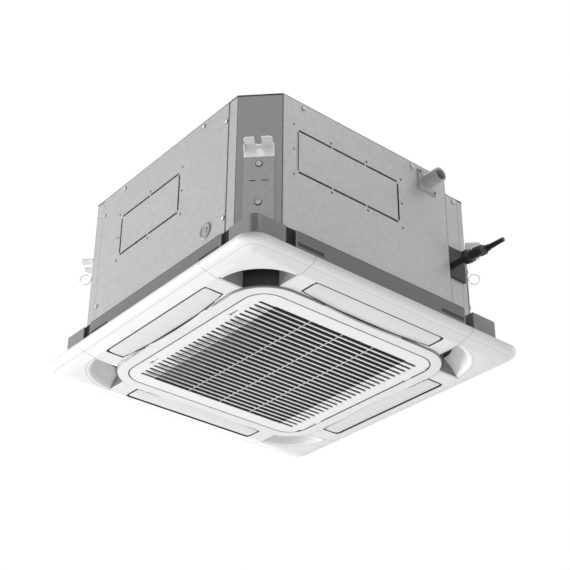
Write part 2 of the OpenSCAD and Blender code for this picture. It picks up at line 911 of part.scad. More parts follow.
// Foam duct from the grille to the bell mouth
module intake_shroud() {
    color(black) difference() {
        rounded_slab(shroud_half, shroud_r, ring_z + 2 * panel_wall, body_z - near);
        rounded_slab(shroud_half - shroud_wall, shroud_r - shroud_wall, ring_z, body_z);
    }
}

// Foam lining inside the rails and blocks of the back frame
module outer_lining() {
    outer = upstand_wall + near - upstand_out;
    color(black) difference() {
        casing_wall(outer, outer + lining_wall, near, body_z - near);
        for (k = [0:3]) on_side(k)
            span([pad_from - near, pad_from - near, 0], [deep, deep, foot_t + near]);
        outlet_spaces();
    }
}

bolt_head_r = 6;
bolt_head_h = 4;
hanger_lug_z = body_z + 1;

module panel_bolts() {
    color(zinc) for (k = [0:3]) on_side(k) translate([bolt_at, bolt_at, 0]) {
        difference() {
            translate([0, 0, -bolt_head_h]) cylinder(bolt_head_h, bolt_head_r, bolt_head_r, $fn = 6);
            translate([0, 0, -bolt_head_h - over]) cylinder(bolt_head_h, bolt_r, bolt_r, $fn = 6);
        }
        translate([0, 0, -bolt_head_h / 2])
            cylinder(hanger_lug_z + hanger_t + 2 * bolt_head_h, bolt_r, bolt_r);
        translate([0, 0, hanger_lug_z + hanger_t]) cylinder(bolt_head_h, bolt_head_r, bolt_head_r, $fn = 6);
    }
}

// Steel body

side_flat = body_half - chamfer;
post_seam = side_flat - post_show;
lap_end = post_seam - post_lap;
lap_mid = post_seam - post_lap / 2;
screw_r = 1.6;
screw_head_r = 3.6;
screw_head_h = 1.8;
head_taper_share = 0.7;
low_screw = 34;
high_screw = 241;
top_screw = 271;
top_screw_at = 130;
post_screw = 229;
recess_screw = 238;
right_screw = [-182, 90];
recess_screws = [[recess_screw, top_screw]];
right_screws = [for (at = right_screw) [at, top_screw]];
front_screws = [
    [-lap_mid, low_screw], [lap_mid, low_screw], [-lap_mid, high_screw], [lap_mid, high_screw],
    [-top_screw_at, top_screw], [top_screw_at, top_screw]
];
pilot_out = 9;
front_ko_up = 161.5;
right_ko_up = 171;
cap_at = 148;
cap_up = 33;
cap_lip = 2.5;

// A rod along X, at a place along the right side and a height
module side_rod(at, up, x0, x1, r) {
    translate([x0, at, up]) rotate([0, 90, 0]) cylinder(x1 - x0, r, r);
}

module screw_holes(list) {
    for (p = list) side_rod(p[0], body_z + p[1], body_half - 4 * sheet, body_half + over, screw_r + near);
}

module screws(list) {
    for (p = list) translate([body_half, p[0], body_z + p[1]]) rotate([0, 90, 0]) {
        cylinder(screw_head_h, screw_head_r, screw_head_r * head_taper_share);
        translate([0, 0, -2.5 * sheet]) cylinder(3 * sheet, screw_r, screw_r);
    }
}

// Perforation and pilot holes of a knock-out on the right side
module knockout(at, up, w, h, slots) {
    seg = w / slots;
    x = body_half - sheet - over;
    depth = sheet + 2 * over;
    for (s = [-1, 1]) {
        for (i = [0:slots - 1])
            translate([x, at - w / 2 + i * seg + bridge / 2, up + s * h / 2 - perf_w / 2])
                cube([depth, seg - bridge, perf_w]);
        translate([x, at + s * w / 2 - perf_w / 2, up - h / 2 + bridge])
            cube([depth, perf_w, h - 2 * bridge]);
        side_rod(at + s * (w / 2 + pilot_out), up, x, x + depth, pilot_r);
        for (i = [0:slots])
            side_rod(at + (i / slots - 1 / 2) * (w + 2 * pilot_out), up + s * (h / 2 + pilot_out),
                x, x + depth, pilot_r);
    }
}

// A side sheet with a hem, a knock-out and screw holes, between two corner posts
module plain_side(k, at, cap) {
    color(zinc) on_side(k) difference() {
        union() {
            span([body_half - sheet, -post_seam, body_z], [body_half, post_seam, body_top - sheet]);
            span([body_half - hem_w, -post_seam, body_z], [body_half, post_seam, body_z + sheet]);
        }
        knockout(at, body_z + front_ko_up, front_ko_w, front_ko_h, 2);
        screw_holes(front_screws);
        if (cap) side_rod(cap_at, body_z + cap_up, body_half - 2 * sheet, body_half + sheet, cap_r - cap_lip);
    }
}

module side_panel_rear() {
    plain_side(1, 0, false);
}

module side_panel_left() {
    plain_side(2, 0, false);
}

module side_panel_front() {
    plain_side(3, front_ko_at, true);
}

drain_in = 51;
drain_down = 32;
pipe_in = [35, 62];
pipe_up = [110, 128];
drain_y = recess_y - drain_in;
drain_z = body_top - drain_down;
gas_y = recess_y + pipe_in[0];
gas_z = body_z + pipe_up[0];
liquid_y = recess_y + pipe_in[1];
liquid_z = body_z + pipe_up[1];

// The two pipes between two places along X
module pipe_rods(grow, x0, x1) {
    side_rod(gas_y, gas_z, x0, x1, gas_r + grow);
    side_rod(liquid_y, liquid_z, x0, x1, liquid_r + grow);
}

// Right sheet, folded into the piping recess
module side_panel_right() {
    color(zinc) difference() {
        intersection() {
            union() {
                casing_wall(0, sheet, body_z, body_top - sheet);
                casing_wall(0, hem_w, body_z, body_z + sheet);
            }
            span([recess_x - hem_w, -side_flat, body_z - over],
                [body_half + over, side_flat + chamfer / 3, body_top]);
        }
        knockout(right_ko_at, body_z + right_ko_up, right_ko_w, right_ko_h, 3);
        screw_holes(right_screws);
        translate([-recess_depth, 0, 0]) screw_holes(recess_screws);
        side_rod(drain_y, drain_z, body_half - hem_w, body_half + over, drain_r + near);
        pipe_rods(3 * sheet, recess_x - hem_w, recess_x + over);
    }
}

hanger_from = diagonal - sheet;
hanger_bolt_u = hanger_pitch / sqrt(2);
hanger_screw_r = 2.5;
hanger_screw_ups = [48, 128];
right_hanger_lo = (2 * side_flat + chamfer - 2 * recess_x) / sqrt(2) + hanger_t;
right_hanger_hi = chamfer / sqrt(2) - hanger_t;

// The two screws of a hanger, facing outward
module hanger_screw_places(k, mid, x) {
    on_corner(k) for (up = hanger_screw_ups) translate([x, mid, body_z + up]) rotate([0, 90, 0]) children();
}

module all_hanger_screw_places(x) {
    hanger_screw_places(0, (right_hanger_lo + right_hanger_hi) / 2, x) children();
    for (k = [1:3]) hanger_screw_places(k, 0, x) children();
}

// The two left corners, turned like the right side
module post_screw_places() {
    for (k = [1, 2]) on_corner(k) translate([hanger_from - body_half, 0, 0]) children();
}

// A corner post: the cut corner with a flange behind each side sheet
module corner_post(k) {
    color(zinc) difference() {
        intersection() {
            casing_wall(sheet, 2 * sheet, body_z + 2 * sheet, body_top - 2 * sheet);
            on_side(k) span([lap_end, lap_end, body_z], [body_half, body_half, body_top]);
        }
        for (i = [1:3]) on_side(i) screw_holes(front_screws);
        translate([-recess_depth, 0, 0]) screw_holes(recess_screws);
        post_screw_places() screw_holes([[0, post_screw]]);
        all_hanger_screw_places(hanger_from - 2 * sheet)
            cylinder(3 * sheet, hanger_screw_r + near, hanger_screw_r + near);
        pipe_rods(3 * sheet, recess_x - hem_w, recess_x);
    }
}

module corner_post_rear_right() {
    corner_post(0);
}

module corner_post_rear_left() {
    corner_post(1);
}

module corner_post_front_left() {
    corner_post(2);
}

module corner_post_front_right() {
    corner_post(3);
}

lid_flange = 17;
bead_h = 1.5;
bead_w = 12;
bead_r = 120;
stud_pitch_r = 62;
stud_r = 4;

module stud_holes(z0, z1) {
    for (k = [0:3]) on_side(k) translate([stud_pitch_r, 0, z0])
        cylinder(z1 - z0, stud_r + near, stud_r + near);
}

// Lid of the steel body with pressed beads and a flange inside the sheets
module top_plate() {
    color(zinc) difference() {
        union() {
            translate([0, 0, body_top - sheet]) linear_extrude(sheet) casing_plan(0);
            casing_wall(2 * sheet + near, 3 * sheet + near, body_top - lid_flange, body_top - sheet / 2);
            translate([0, 0, body_top]) difference() {
                cylinder(bead_h, bead_r, bead_r - bead_h);
                translate([0, 0, -over])
                    cylinder(bead_h + 2 * over, bead_r - bead_w, bead_r - bead_w + bead_h);
            }
            for (k = [0:3]) on_corner(k) translate([bead_r - bead_w / 2, -bead_w / 2, body_top])
                cube([bead_r, bead_w, bead_h]);
        }
        stud_holes(body_top - lid_flange, body_top + over);
        for (k = [1:3]) on_side(k) screw_holes(front_screws);
        screw_holes(right_screws);
        translate([-recess_depth, 0, 0]) screw_holes(recess_screws);
    }
}

louvre_w = 11;
louvre_h = 2.2;
louvre_up = 92;
tab_round = 7;
gusset_reach = 14;
lug_w = 26;

// Hanger on a cut corner: a plate, a slotted tab and a lug for the panel bolt
module hanger(k, lo, hi, tab_lo, tab_hi) {
    x = hanger_from;
    end = x + tab_reach;
    mid = (lo + hi) / 2;
    w = min(louvre_w, (hi - lo) / 4);
    tab_z = body_z + tab_up;
    bolt_u = bolt_at * sqrt(2);
    color([0.82, 0.82, 0.83]) on_corner(k) difference() {
        union() {
            span([x, lo, hanger_lug_z], [x + hanger_t, hi, tab_z + hanger_t]);
            translate([0, 0, tab_z]) linear_extrude(hanger_t) difference() {
                union() {
                    translate([x, tab_lo]) square([tab_reach - tab_round, tab_hi - tab_lo]);
                    translate([x, tab_lo + tab_round]) square([tab_reach, tab_hi - tab_lo - 2 * tab_round]);
                    for (v = [tab_lo + tab_round, tab_hi - tab_round])
                        translate([end - tab_round, v]) circle(tab_round);
                }
                translate([hanger_bolt_u, 0]) circle(slot_w / 2);
                translate([hanger_bolt_u, -slot_w / 2]) square([tab_reach, slot_w]);
            }
            for (v = [lo + hanger_t, hi]) translate([x, v, tab_z]) rotate([90, 0, 0]) linear_extrude(hanger_t)
                polygon([[0, near], [gusset_reach, near], [0, -gusset_reach]]);
            span([x, -lug_w / 2, hanger_lug_z],
                [bolt_u + lug_w / 2, lo > 0 ? hi : lug_w / 2, hanger_lug_z + hanger_t]);
        }
        translate([bolt_u, 0, hanger_lug_z - over])
            cylinder(hanger_t + 2 * over, bolt_r + near, bolt_r + near);
        for (up = hanger_screw_ups)
            side_rod(mid, body_z + up, x - over, x + hanger_t + over, hanger_screw_r + near);
        for (s = [-1, 1]) translate([x - over, mid + s * (hi - lo) / 5 - w / 2, body_z + louvre_up])
            cube([hanger_t + 2 * over, w, louvre_h]);
    }
}

module hanger_rear_right() {
    hanger(0, right_hanger_lo, right_hanger_hi, -tab_w / 2, right_hanger_hi);
}

module hanger_rear_left() {
    hanger(1, -hanger_w / 2, hanger_w / 2, -tab_w / 2, tab_w / 2);
}

module hanger_front_left() {
    hanger(2, -hanger_w / 2, hanger_w / 2, -tab_w / 2, tab_w / 2);
}

module hanger_front_right() {
    hanger(3, -hanger_w / 2, hanger_w / 2, -tab_w / 2, tab_w / 2);
}

module casing_screws() {
    color([0.9, 0.9, 0.9]) {
        for (k = [1:3]) on_side(k) screws(front_screws);
        screws(right_screws);
        translate([-recess_depth, 0, 0]) screws(recess_screws);
        post_screw_places() screws([[0, post_screw]]);
        all_hanger_screw_places(hanger_from) {
            translate([0, 0, hanger_t]) cylinder(screw_head_h, 2 * hanger_screw_r, 1.5 * hanger_screw_r);
            translate([0, 0, -2 * sheet]) cylinder(2.5 * sheet + hanger_t, hanger_screw_r, hanger_screw_r);
        }
    }
}

cap_rise = 2.2;
cap_plug = 3;
cap_groove_shares = [0.45, 0.62];

// Push-in cap over the fresh air hole
module fresh_air_cap() {
    plug_r = cap_r - cap_lip - near;
    g = cap_r * cap_groove_shares;
    color([0.72, 0.72, 0.73]) on_side(3) translate([body_half, cap_at, body_z + cap_up]) rotate([0, 90, 0])
        difference() {
            union() {
                cylinder(cap_rise, cap_r, cap_r - cap_rise);
                translate([0, 0, -cap_plug]) cylinder(cap_plug + near, plug_r, plug_r);
            }
            translate([0, 0, cap_rise / 2]) difference() {
                cylinder(cap_rise, g[1], g[1]);
                translate([0, 0, -over]) cylinder(cap_rise + 2 * over, g[0], g[0]);
            }
            translate([0, 0, -cap_plug - over]) cylinder(cap_plug, plug_r - cap_lip, plug_r - cap_lip);
        }
}

loop_r = 11;
wire_r = 0.8;
eye_l = 3;
loop_down = 46;
loop_z = body_z + tab_up - loop_down;

// Wire loops on the front left and rear right hangers
module wire_hooks() {
    color([0.85, 0.85, 0.85]) for (k = [0, 2]) on_corner(k)
        translate([hanger_from + hanger_t, (k == 0 ? right_hanger_hi : hanger_w / 2) - eye_l, loop_z]) {
            translate([loop_r + eye_l, 0, 0]) rotate([90, 0, 0]) rotate_extrude($fn = 32)
                translate([loop_r, 0]) circle(wire_r, $fn = 16);
            rotate([0, 90, 0]) cylinder(eye_l, 1.5 * wire_r, 1.5 * wire_r);
        }
}

// Insulation, tray, coil and drain

foam_from = 3 * sheet + 2 * near;
foam_in = foam_from + foam_t;
foam_top = body_top - sheet - near - foam_t;

module wall_insulation() {
    color([0.25, 0.25, 0.26]) difference() {
        casing_wall(foam_from, foam_in, body_z + sheet + near, foam_top - near);
        side_rod(drain_y, drain_z, body_half - 2 * foam_in, body_half, drain_r + near);
        pipe_rods(near, recess_x - 2 * foam_in, recess_x);
    }
}

module top_insulation() {
    color([0.25, 0.25, 0.26]) difference() {
        translate([0, 0, foam_top]) linear_extrude(foam_t) casing_plan(foam_from);
        stud_holes(foam_top - over, body_top);
    }
}

tray_z = body_z + near;
trough_z = tray_z + tray_floor;
tray_r = 34;
tray_open_r = 160;
tray_ear_w = 26;
trough_gap = 4;
coil_inner = coil_outer - coil_t;
coil_z = trough_z + near;
coil_top = foam_top - near;
coil_gap = 60;
coil_end = coil_outer - coil_gap;
pump_at = 214;
pump_r = 15;
pump_h = 62;
pump_foot = 8;
pump_taper_share = 0.7;

module coil_plan(grow) {
    difference() {
        rounded_plan(coil_outer + grow, coil_bend_r + grow);
        rounded_plan(coil_inner - grow, coil_bend_r - coil_t - grow);
    }
}

// Foam tray with a trough under the coil, a sump in the pump's corner and four ears
module drain_tray() {
    sump = coil_outer + trough_gap;
    ear_to = diagonal - foam_in - near;
    ear_from = ear_to - 2 * tray_ear_w;
    ear_z = tray_z + over;
    color([0.88, 0.88, 0.87]) {
        difference() {
            rounded_slab(tray_half, tray_r, tray_z, tray_z + tray_h);
            translate([0, 0, tray_z - over]) cylinder(tray_h + 2 * over, tray_open_r, tray_open_r, $fn = 128);
            translate([0, 0, trough_z]) linear_extrude(tray_h) {
                coil_plan(trough_gap);
                intersection() {
                    rounded_plan(sump, tray_r + sump - tray_half);
                    translate([coil_end - trough_gap, coil_end - trough_gap]) square(sump);
                }
            }
        }
        for (k = [1:3]) on_corner(k)
            span([ear_from, -tray_ear_w / 2, ear_z], [ear_to, tray_ear_w / 2, trough_z - over]);
        on_corner(0) span([ear_from, tray_ear_w / 2, ear_z], [ear_to, tray_ear_w * 4 / 3, trough_z - over]);
    }
}

tube_sheet_lip = 0.8;

// Finned coil bent round the fan, with a tube sheet at both ends
module heat_exchanger() {
    color([0.72, 0.73, 0.75]) translate([0, 0, coil_z]) linear_extrude(coil_top - coil_z) difference() {
        coil_plan(0);
        translate([coil_end, coil_end]) square(coil_outer);
    }
    color([0.6, 0.61, 0.62]) for (m = [0, 1]) mirror([m, -m, 0])
        span([coil_end - near, coil_inner - tube_sheet_lip, coil_z],
            [coil_end + sheet, coil_outer + tube_sheet_lip, coil_top - near]);
}

hairpin_r = 3.5;
hairpin_n = 6;
gas_header_r = 6;
gas_header_in = 8;
gas_header_x = coil_outer - gas_header_in;
liquid_header_r = 4.5;
liquid_header_in = 23;
liquid_header_x = coil_outer - liquid_header_in;
elbow_grow = 0.4;

// A pipe through a list of points with a ball at each bend
module pipe_run(points, r) {
    for (i = [0:len(points) - 2]) {
        d = points[i + 1] - points[i];
        translate(points[i]) rotate([0, acos(d[2] / norm(d)), atan2(d[1], d[0])]) cylinder(norm(d), r, r);
        if (i > 0) translate(points[i]) sphere(r + elbow_grow);
    }
}

module coil_header(x, r) {
    y = coil_end + sheet + r;
    step = (coil_top - coil_z) / hairpin_n;
    translate([x, y, coil_z + step / 2 - r]) cylinder(coil_top - coil_z - step + 2 * r, r, r);
    for (i = [0:hairpin_n - 1]) translate([x, coil_end + sheet, coil_z + (i + 1 / 2) * step])
        rotate([-90, 0, 0]) cylinder(r, hairpin_r, hairpin_r);
}

// Return bends on one tube sheet, headers on the other and the runs to the recess
module coil_pipes() {
    step = (coil_top - coil_z) / hairpin_n;
    gas_end = recess_x + gas_reach - near;
    liquid_end = recess_x + gas_reach - near;
    color([0.75, 0.47, 0.32]) {
        for (i = [0:hairpin_n - 1])
            translate([coil_end + sheet, (coil_inner + coil_outer) / 2, coil_z + (i + 1 / 2) * step])
                rotate([0, 90, 0]) rotate([90, 0, 0]) rotate_extrude(angle = 180, $fn = 32)
                    translate([step / 4, 0]) circle(hairpin_r, $fn = 24);
        coil_header(gas_header_x, gas_header_r);
        coil_header(liquid_header_x, liquid_header_r);
        pipe_run([[gas_header_x, coil_end + sheet + gas_header_r, gas_z], [gas_header_x, gas_y, gas_z],
            [gas_end, gas_y, gas_z]], gas_r);
        pipe_run([[liquid_header_x, coil_end + sheet + liquid_header_r, liquid_z],
            [liquid_header_x, liquid_y, liquid_z], [liquid_end, liquid_y, liquid_z]], liquid_r);
    }
}

gland_in = 25;
gland_down = 22;
gland_size = [66, 68];
gland_lo = [gas_y - gland_in, gas_z - gland_down];
gland_hi = gland_lo + gland_size;
gland_t = 4;

module pipe_gland() {
    color(black) difference() {
        span([recess_x, gland_lo[0], gland_lo[1]], [recess_x + gland_t, gland_hi[0], gland_hi[1]]);
        pipe_rods(near, recess_x - over, recess_x + gland_t + over);
    }
}

nut_out = [44, 56];
gas_nut_x = recess_x + nut_out[0];
liquid_nut_x = recess_x + nut_out[1];
nut_l = 24;
nut_hex_share = 0.55;
nut_round_share = 0.44;
nut_taper_share = 0.8;
cap_skin = 2.2;

// A hexagonal flare nut with a round tail and skirt
module flare_nut(at, af, r) {
    w = af * nut_round_share;
    translate(at) rotate([0, 90, 0]) difference() {
        union() {
            cylinder(nut_l * nut_hex_share, af / sqrt(3), af / sqrt(3), $fn = 6);
            cylinder(nut_l, w, w * nut_taper_share);
            translate([0, 0, -nut_l / 4]) cylinder(nut_l / 2, w * nut_taper_share, w);
        }
        translate([0, 0, -nut_l]) cylinder(3 * nut_l, r + near, r + near);
    }
}

module gas_flare_nut() {
    color(black) flare_nut([gas_nut_x, gas_y, gas_z], gas_nut_af, gas_r);
}

module liquid_flare_nut() {
    color(black) flare_nut([liquid_nut_x, liquid_y, liquid_z], liquid_nut_af, liquid_r);
}

// A plastic cap over a stub, from its nut to its end
module pipe_cap(y, z, x0, x1, r, wall) {
    difference() {
        translate([x0, y, z]) rotate([0, 90, 0]) cylinder(x1 - x0, r + 2 * wall, r + wall);
        side_rod(y, z, x0 - over, x1 - wall, r + near);
    }
}

module pipe_caps() {
    color(black) {
        pipe_cap(gas_y, gas_z, gas_nut_x + nut_l, recess_x + gas_reach + cap_skin, gas_r, cap_skin);
        pipe_cap(liquid_y, liquid_z, liquid_nut_x + nut_l, recess_x + liquid_reach, liquid_r, cap_skin / 2);
    }
}

flange_w = 46;
flange_t = 3;
flange_screw_r = 3;
spigot_in = 26;
cup_l = 14;
hose_r = 3.6;

// Drain outlet with a square flange, its inner end ready for the hose
module drain_spigot() {
    color([0.8, 0.8, 0.8]) difference() {
        translate([body_half, drain_y, drain_z]) rotate([0, 90, 0]) {
            translate([-flange_w / 2, -flange_w / 2, 0]) cube([flange_w, flange_w, flange_t]);
            cylinder(2 * flange_t, drain_r + flange_t, drain_r + flange_t / 2);
            translate([0, 0, -spigot_in]) cylinder(spigot_in + drain_reach, drain_r, drain_r);
            for (a = [0:3]) rotate(45 + 90 * a) translate([flange_w / 2 + flange_screw_r, 0, flange_t - near])
                cylinder(flange_t / 2, flange_screw_r, flange_screw_r * head_taper_share);
        }
        side_rod(drain_y, drain_z, body_half - 2 * spigot_in, body_half + 2 * drain_reach, drain_bore_r);
    }
}

module drain_pump() {
    color([0.35, 0.36, 0.38]) translate([pump_at, pump_at, trough_z]) {
        cylinder(pump_foot + near, pump_r * pump_taper_share, pump_r * pump_taper_share);
        translate([0, 0, pump_foot]) cylinder(pump_h, pump_r, pump_r);
    }
}

// Hose from the pump's top to the drain spigot
module drain_hose() {
    x = coil_outer + tube_sheet_lip + hose_r + near;
    cup_x = body_half - spigot_in - near;
    start = [pump_at + hose_r / 2, pump_at + pump_r - 1.5 * hose_r, trough_z + pump_foot + pump_h];
    color([0.3, 0.3, 0.31]) difference() {
        union() {
            pipe_run([start, [start[0], start[1], drain_z], [x, coil_end + 5 * hose_r, drain_z],
                [x, drain_y, drain_z], [cup_x, drain_y, drain_z]], hose_r);
            side_rod(drain_y, drain_z, cup_x - cap_skin, cup_x + cup_l, drain_r + cap_skin);
        }
        side_rod(drain_y, drain_z, cup_x, cup_x + cup_l + over, drain_r + pin_clear);
        side_rod(drain_y, drain_z, x, cup_x + over, hose_r - cap_skin / 2);
    }
}

float_off = [-17, 14];
float_x = pump_at + float_off[0];
float_y = pump_at + float_off[1];
float_r = 6;
float_h = 14;
float_foot = 3;
stem_r = 3;
stem_clear = 0.1;

// Stem with a foot and a head between which the float slides
module float_switch() {
    head = float_foot + float_h + float_travel + near;
    color(white) translate([float_x, float_y, trough_z]) {
        cylinder(head + near, stem_r, stem_r);
        cylinder(float_foot - near, float_r, float_r);
        translate([0, 0, head]) cylinder(float_foot, float_r, float_r);
    }
}

module float() {
    color([0.2, 0.3, 0.45]) translate([float_x, float_y, trough_z + float_foot]) difference() {
        cylinder(float_h, float_r, float_r);
        translate([0, 0, -over]) cylinder(float_h + 2 * over, stem_r + stem_clear, stem_r + stem_clear);
    }
}

// Bell mouth, fan and motor

fan_z = tray_z + tray_h;
bell_r = fan_inlet_r - bell_gap;
bell_wall = 2.5;
bell_flange_r = 176;
bell_mouth_r = 146;
bell_z = tray_z - bell_wall;
bell_lap = 12;
bell_top = fan_z + bell_lap;
curve_steps = 8;
function quarter(i) = 90 * i / curve_steps;

// Bell mouth that leads the air into the fan
module bell_mouth() {
    h = bell_top - bell_wall - bell_z;
    inner = [for (i = [0:curve_steps]) [
        bell_mouth_r - (bell_mouth_r - bell_r) * sin(quarter(i)), bell_z + h * (1 - cos(quarter(i)))
    ]];
    outer = [for (i = [0:curve_steps]) inner[i] + bell_wall * [sin(quarter(i)), cos(quarter(i))]];
    color([0.82, 0.82, 0.81]) rotate_extrude($fn = 128) polygon(concat(
        [[bell_flange_r, bell_z]], inner, [[bell_r, bell_top], [bell_r + bell_wall, bell_top]],
        reversed(outer), [[bell_flange_r, bell_z + bell_wall]]
    ));
}

fan_clear = 4;
fan_foot = fan_z + fan_clear;
fan_neck = 12;
shroud_rise = 26;
fan_top = fan_foot + fan_h;
hub_r = 60;
dome_h = 44;
dome_lean = 6;
dome_fall = 12;
boss_r = 13;
boss_h = 12;
boss_z = fan_top - dome_h - dome_fall - boss_h;
blade_in = 84;
blade_c = 75;
blade_arc_r = 96;

// Inner surface of the front shroud, as points from the neck outward
front_shroud = [for (i = [0:curve_steps]) [
    fan_r - (fan_r - fan_inlet_r) * cos(quarter(i)), fan_foot + fan_neck + shroud_rise * sin(quarter(i))
]];

function shroud_out(i, by) = front_shroud[i] + by * [cos(quarter(i)), -sin(quarter(i))];

module blade_plan() {
    for (i = [0:blade_count - 1]) rotate(i * 360 / blade_count) intersection() {
        translate([blade_c, 0]) difference() {
            circle(blade_arc_r, $fn = 128);
            circle(blade_arc_r - blade_t, $fn = 128);
        }
        difference() {
            circle(fan_r - blade_t, $fn = 128);
            circle(blade_in, $fn = 128);
        }
        translate([-fan_r, 0]) square([2 * fan_r, fan_r]);
    }
}

// Domed back plate and backward curved blades of the fan
module fan_impeller() {
    color([0.2, 0.2, 0.21]) {
        rotate_extrude($fn = 128) polygon([
            [fan_r, fan_top], [fan_r, fan_top - fan_wall], [hub_r, fan_top - fan_wall],
            [hub_r - dome_lean, fan_top - dome_h], [boss_r, fan_top - dome_h - dome_fall], [boss_r, boss_z],
            [shaft_r + pin_clear, boss_z], [shaft_r + pin_clear, fan_top - dome_h - dome_fall + fan_wall],
            [hub_r - dome_lean - fan_wall, fan_top - dome_h + fan_wall], [hub_r - fan_wall, fan_top]
        ]);
        intersection() {
            translate([0, 0, fan_foot]) linear_extrude(fan_top - fan_wall / 2 - fan_foot) blade_plan();
            rotate_extrude($fn = 128) polygon(concat(
                [[blade_in - blade_t, fan_top], [blade_in - blade_t, fan_foot + fan_neck],
                    [fan_inlet_r - near, fan_foot + fan_neck]],
                [for (i = [1:curve_steps]) shroud_out(i, -near)], [[fan_r, fan_top]]
            ));
        }
    }
}

// Curved front shroud of the fan, on the blades' edges
module fan_shroud() {
    outer = [for (i = [0:curve_steps]) shroud_out(i, fan_wall)];
    color([0.2, 0.2, 0.21]) rotate_extrude($fn = 128) polygon(concat(
        [[fan_inlet_r, fan_foot]], front_shroud, reversed(outer), [[fan_inlet_r + fan_wall, fan_foot]]
    ));
}

motor_gap = 8;
motor_ear_h = 4;
motor_z = fan_top - dome_h + motor_gap;
motor_ear_z = motor_z + motor_h - motor_ear_h;
motor_ear_w = 18;
shaft_out = 12;
shaft_z = boss_z - shaft_out;
shaft_top = motor_z + motor_h / 2;
motor_taper = 5;

module fan_motor() {
    color([0.7, 0.71, 0.72]) difference() {
        union() {
            translate([0, 0, motor_z]) cylinder(motor_taper, motor_r - motor_taper, motor_r);
            translate([0, 0, motor_z + motor_taper]) cylinder(motor_h - 2 * motor_taper, motor_r, motor_r);
            translate([0, 0, motor_z + motor_h - motor_taper])
                cylinder(motor_taper, motor_r, motor_r - motor_taper);
            for (k = [0:3]) on_side(k) translate([motor_r - 2 * motor_taper, -motor_ear_w / 2, motor_ear_z])
                cube([stud_pitch_r - motor_r + 2 * motor_taper + motor_ear_w / 2, motor_ear_w, motor_ear_h]);
        }
        translate([0, 0, motor_z - over])
            cylinder(shaft_top - motor_z + 2 * over, shaft_r + pin_clear, shaft_r + pin_clear);
        stud_holes(motor_z, motor_z + motor_h + over);
    }
}

module motor_shaft() {
    color([0.8, 0.8, 0.82]) translate([0, 0, shaft_z]) cylinder(shaft_top - shaft_z, shaft_r, shaft_r);
}

fan_nut_h = 6;
fan_nut_r = 9;
washer_h = 2;

module fan_nut() {
    color([0.8, 0.8, 0.82]) translate([0, 0, boss_z - fan_nut_h - washer_h]) difference() {
        union() {
            cylinder(fan_nut_h, fan_nut_r, fan_nut_r, $fn = 6);
            translate([0, 0, fan_nut_h]) cylinder(washer_h, fan_nut_r + washer_h, fan_nut_r + washer_h);
        }
        translate([0, 0, -over])
            cylinder(fan_nut_h + washer_h + 2 * over, shaft_r + pin_clear, shaft_r + pin_clear);
    }
}

bush_h = 6;
bush_r = 9;

// Studs from the lid with rubber bushes that carry the motor
module motor_mounts() {
    low = motor_ear_z - bush_h;
    color(black) for (k = [0:3]) on_side(k) translate([stud_pitch_r, 0, 0]) {
        translate([0, 0, low - near]) cylinder(body_top + bolt_head_h - low, stud_r, stud_r);
        translate([0, 0, low]) cylinder(bush_h, bush_r, bush_r);
        translate([0, 0, motor_ear_z + motor_ear_h]) cylinder(bush_h, bush_r, bush_r);
        translate([0, 0, body_top]) cylinder(bolt_head_h - near, 2 * stud_r, 2 * stud_r, $fn = 6);
    }
}

box_x = -shroud_half + shroud_wall + near;
box_w = 58;
box_half = 130;
box_z = 8;
box_top = 52;
box_t = 1.2;
bracket_at = 60;
bracket_w = 16;
bracket_reach = 34;

// Tray for the electrics beside the bell mouth, open downwards, hung from the drain tray
module control_box() {
    color(zinc) {
        difference() {
            span([box_x, -box_half, box_z], [box_x + box_w, box_half, box_top]);
            span([box_x + box_t, -box_half + box_t, box_z - over],
                [box_x + box_w - box_t, box_half - box_t, box_top - box_t]);
        }
        for (s = [-1, 1]) translate([box_x, s * bracket_at - bracket_w / 2, box_top - near])
            cube([bracket_reach, bracket_w, tray_z - box_top + near]);
    }
}

module control_box_lid() {
    lip = box_t + near;
    color(zinc) {
        span([box_x, -box_half, box_z - box_t], [box_x + box_w, box_half, box_z]);
        difference() {
            span([box_x + lip, -box_half + lip, box_z - near],
                [box_x + box_w - lip, box_half - lip, box_z + 4 * box_t]);
            span([box_x + 2 * lip, -box_half + 2 * lip, box_z - over],
                [box_x + box_w - 2 * lip, box_half - 2 * lip, box_z + 5 * box_t]);
        }
    }
}

panel_frame();
corner_cover_front_right();
corner_cover_rear_right();
corner_cover_rear_left();
corner_cover_front_left();
corner_outlets();
indicator_window();
vane_right();
vane_rear();
vane_left();
vane_front();
vane_motors();
intake_grille();
air_filter();
grille_latch_left();
grille_latch_right();
back_frame();
corner_blocks();
intake_shroud();
outer_lining();
panel_bolts();
side_panel_right();
side_panel_rear();
side_panel_left();
side_panel_front();
corner_post_front_right();
corner_post_rear_right();
corner_post_rear_left();
corner_post_front_left();
top_plate();
hanger_front_right();
hanger_rear_right();
hanger_rear_left();
hanger_front_left();
casing_screws();
fresh_air_cap();
wire_hooks();
wall_insulation();
top_insulation();
drain_tray();
bell_mouth();
heat_exchanger();
coil_pipes();
pipe_gland();
gas_flare_nut();
liquid_flare_nut();
pipe_caps();
drain_spigot();
drain_hose();
drain_pump();
float_switch();
float();
fan_motor();
motor_mounts();
motor_shaft();
fan_impeller();
fan_shroud();
fan_nut();
control_box();
control_box_lid();
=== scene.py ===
import json
import math

import bmesh
import bpy
from mathutils import Matrix, Vector


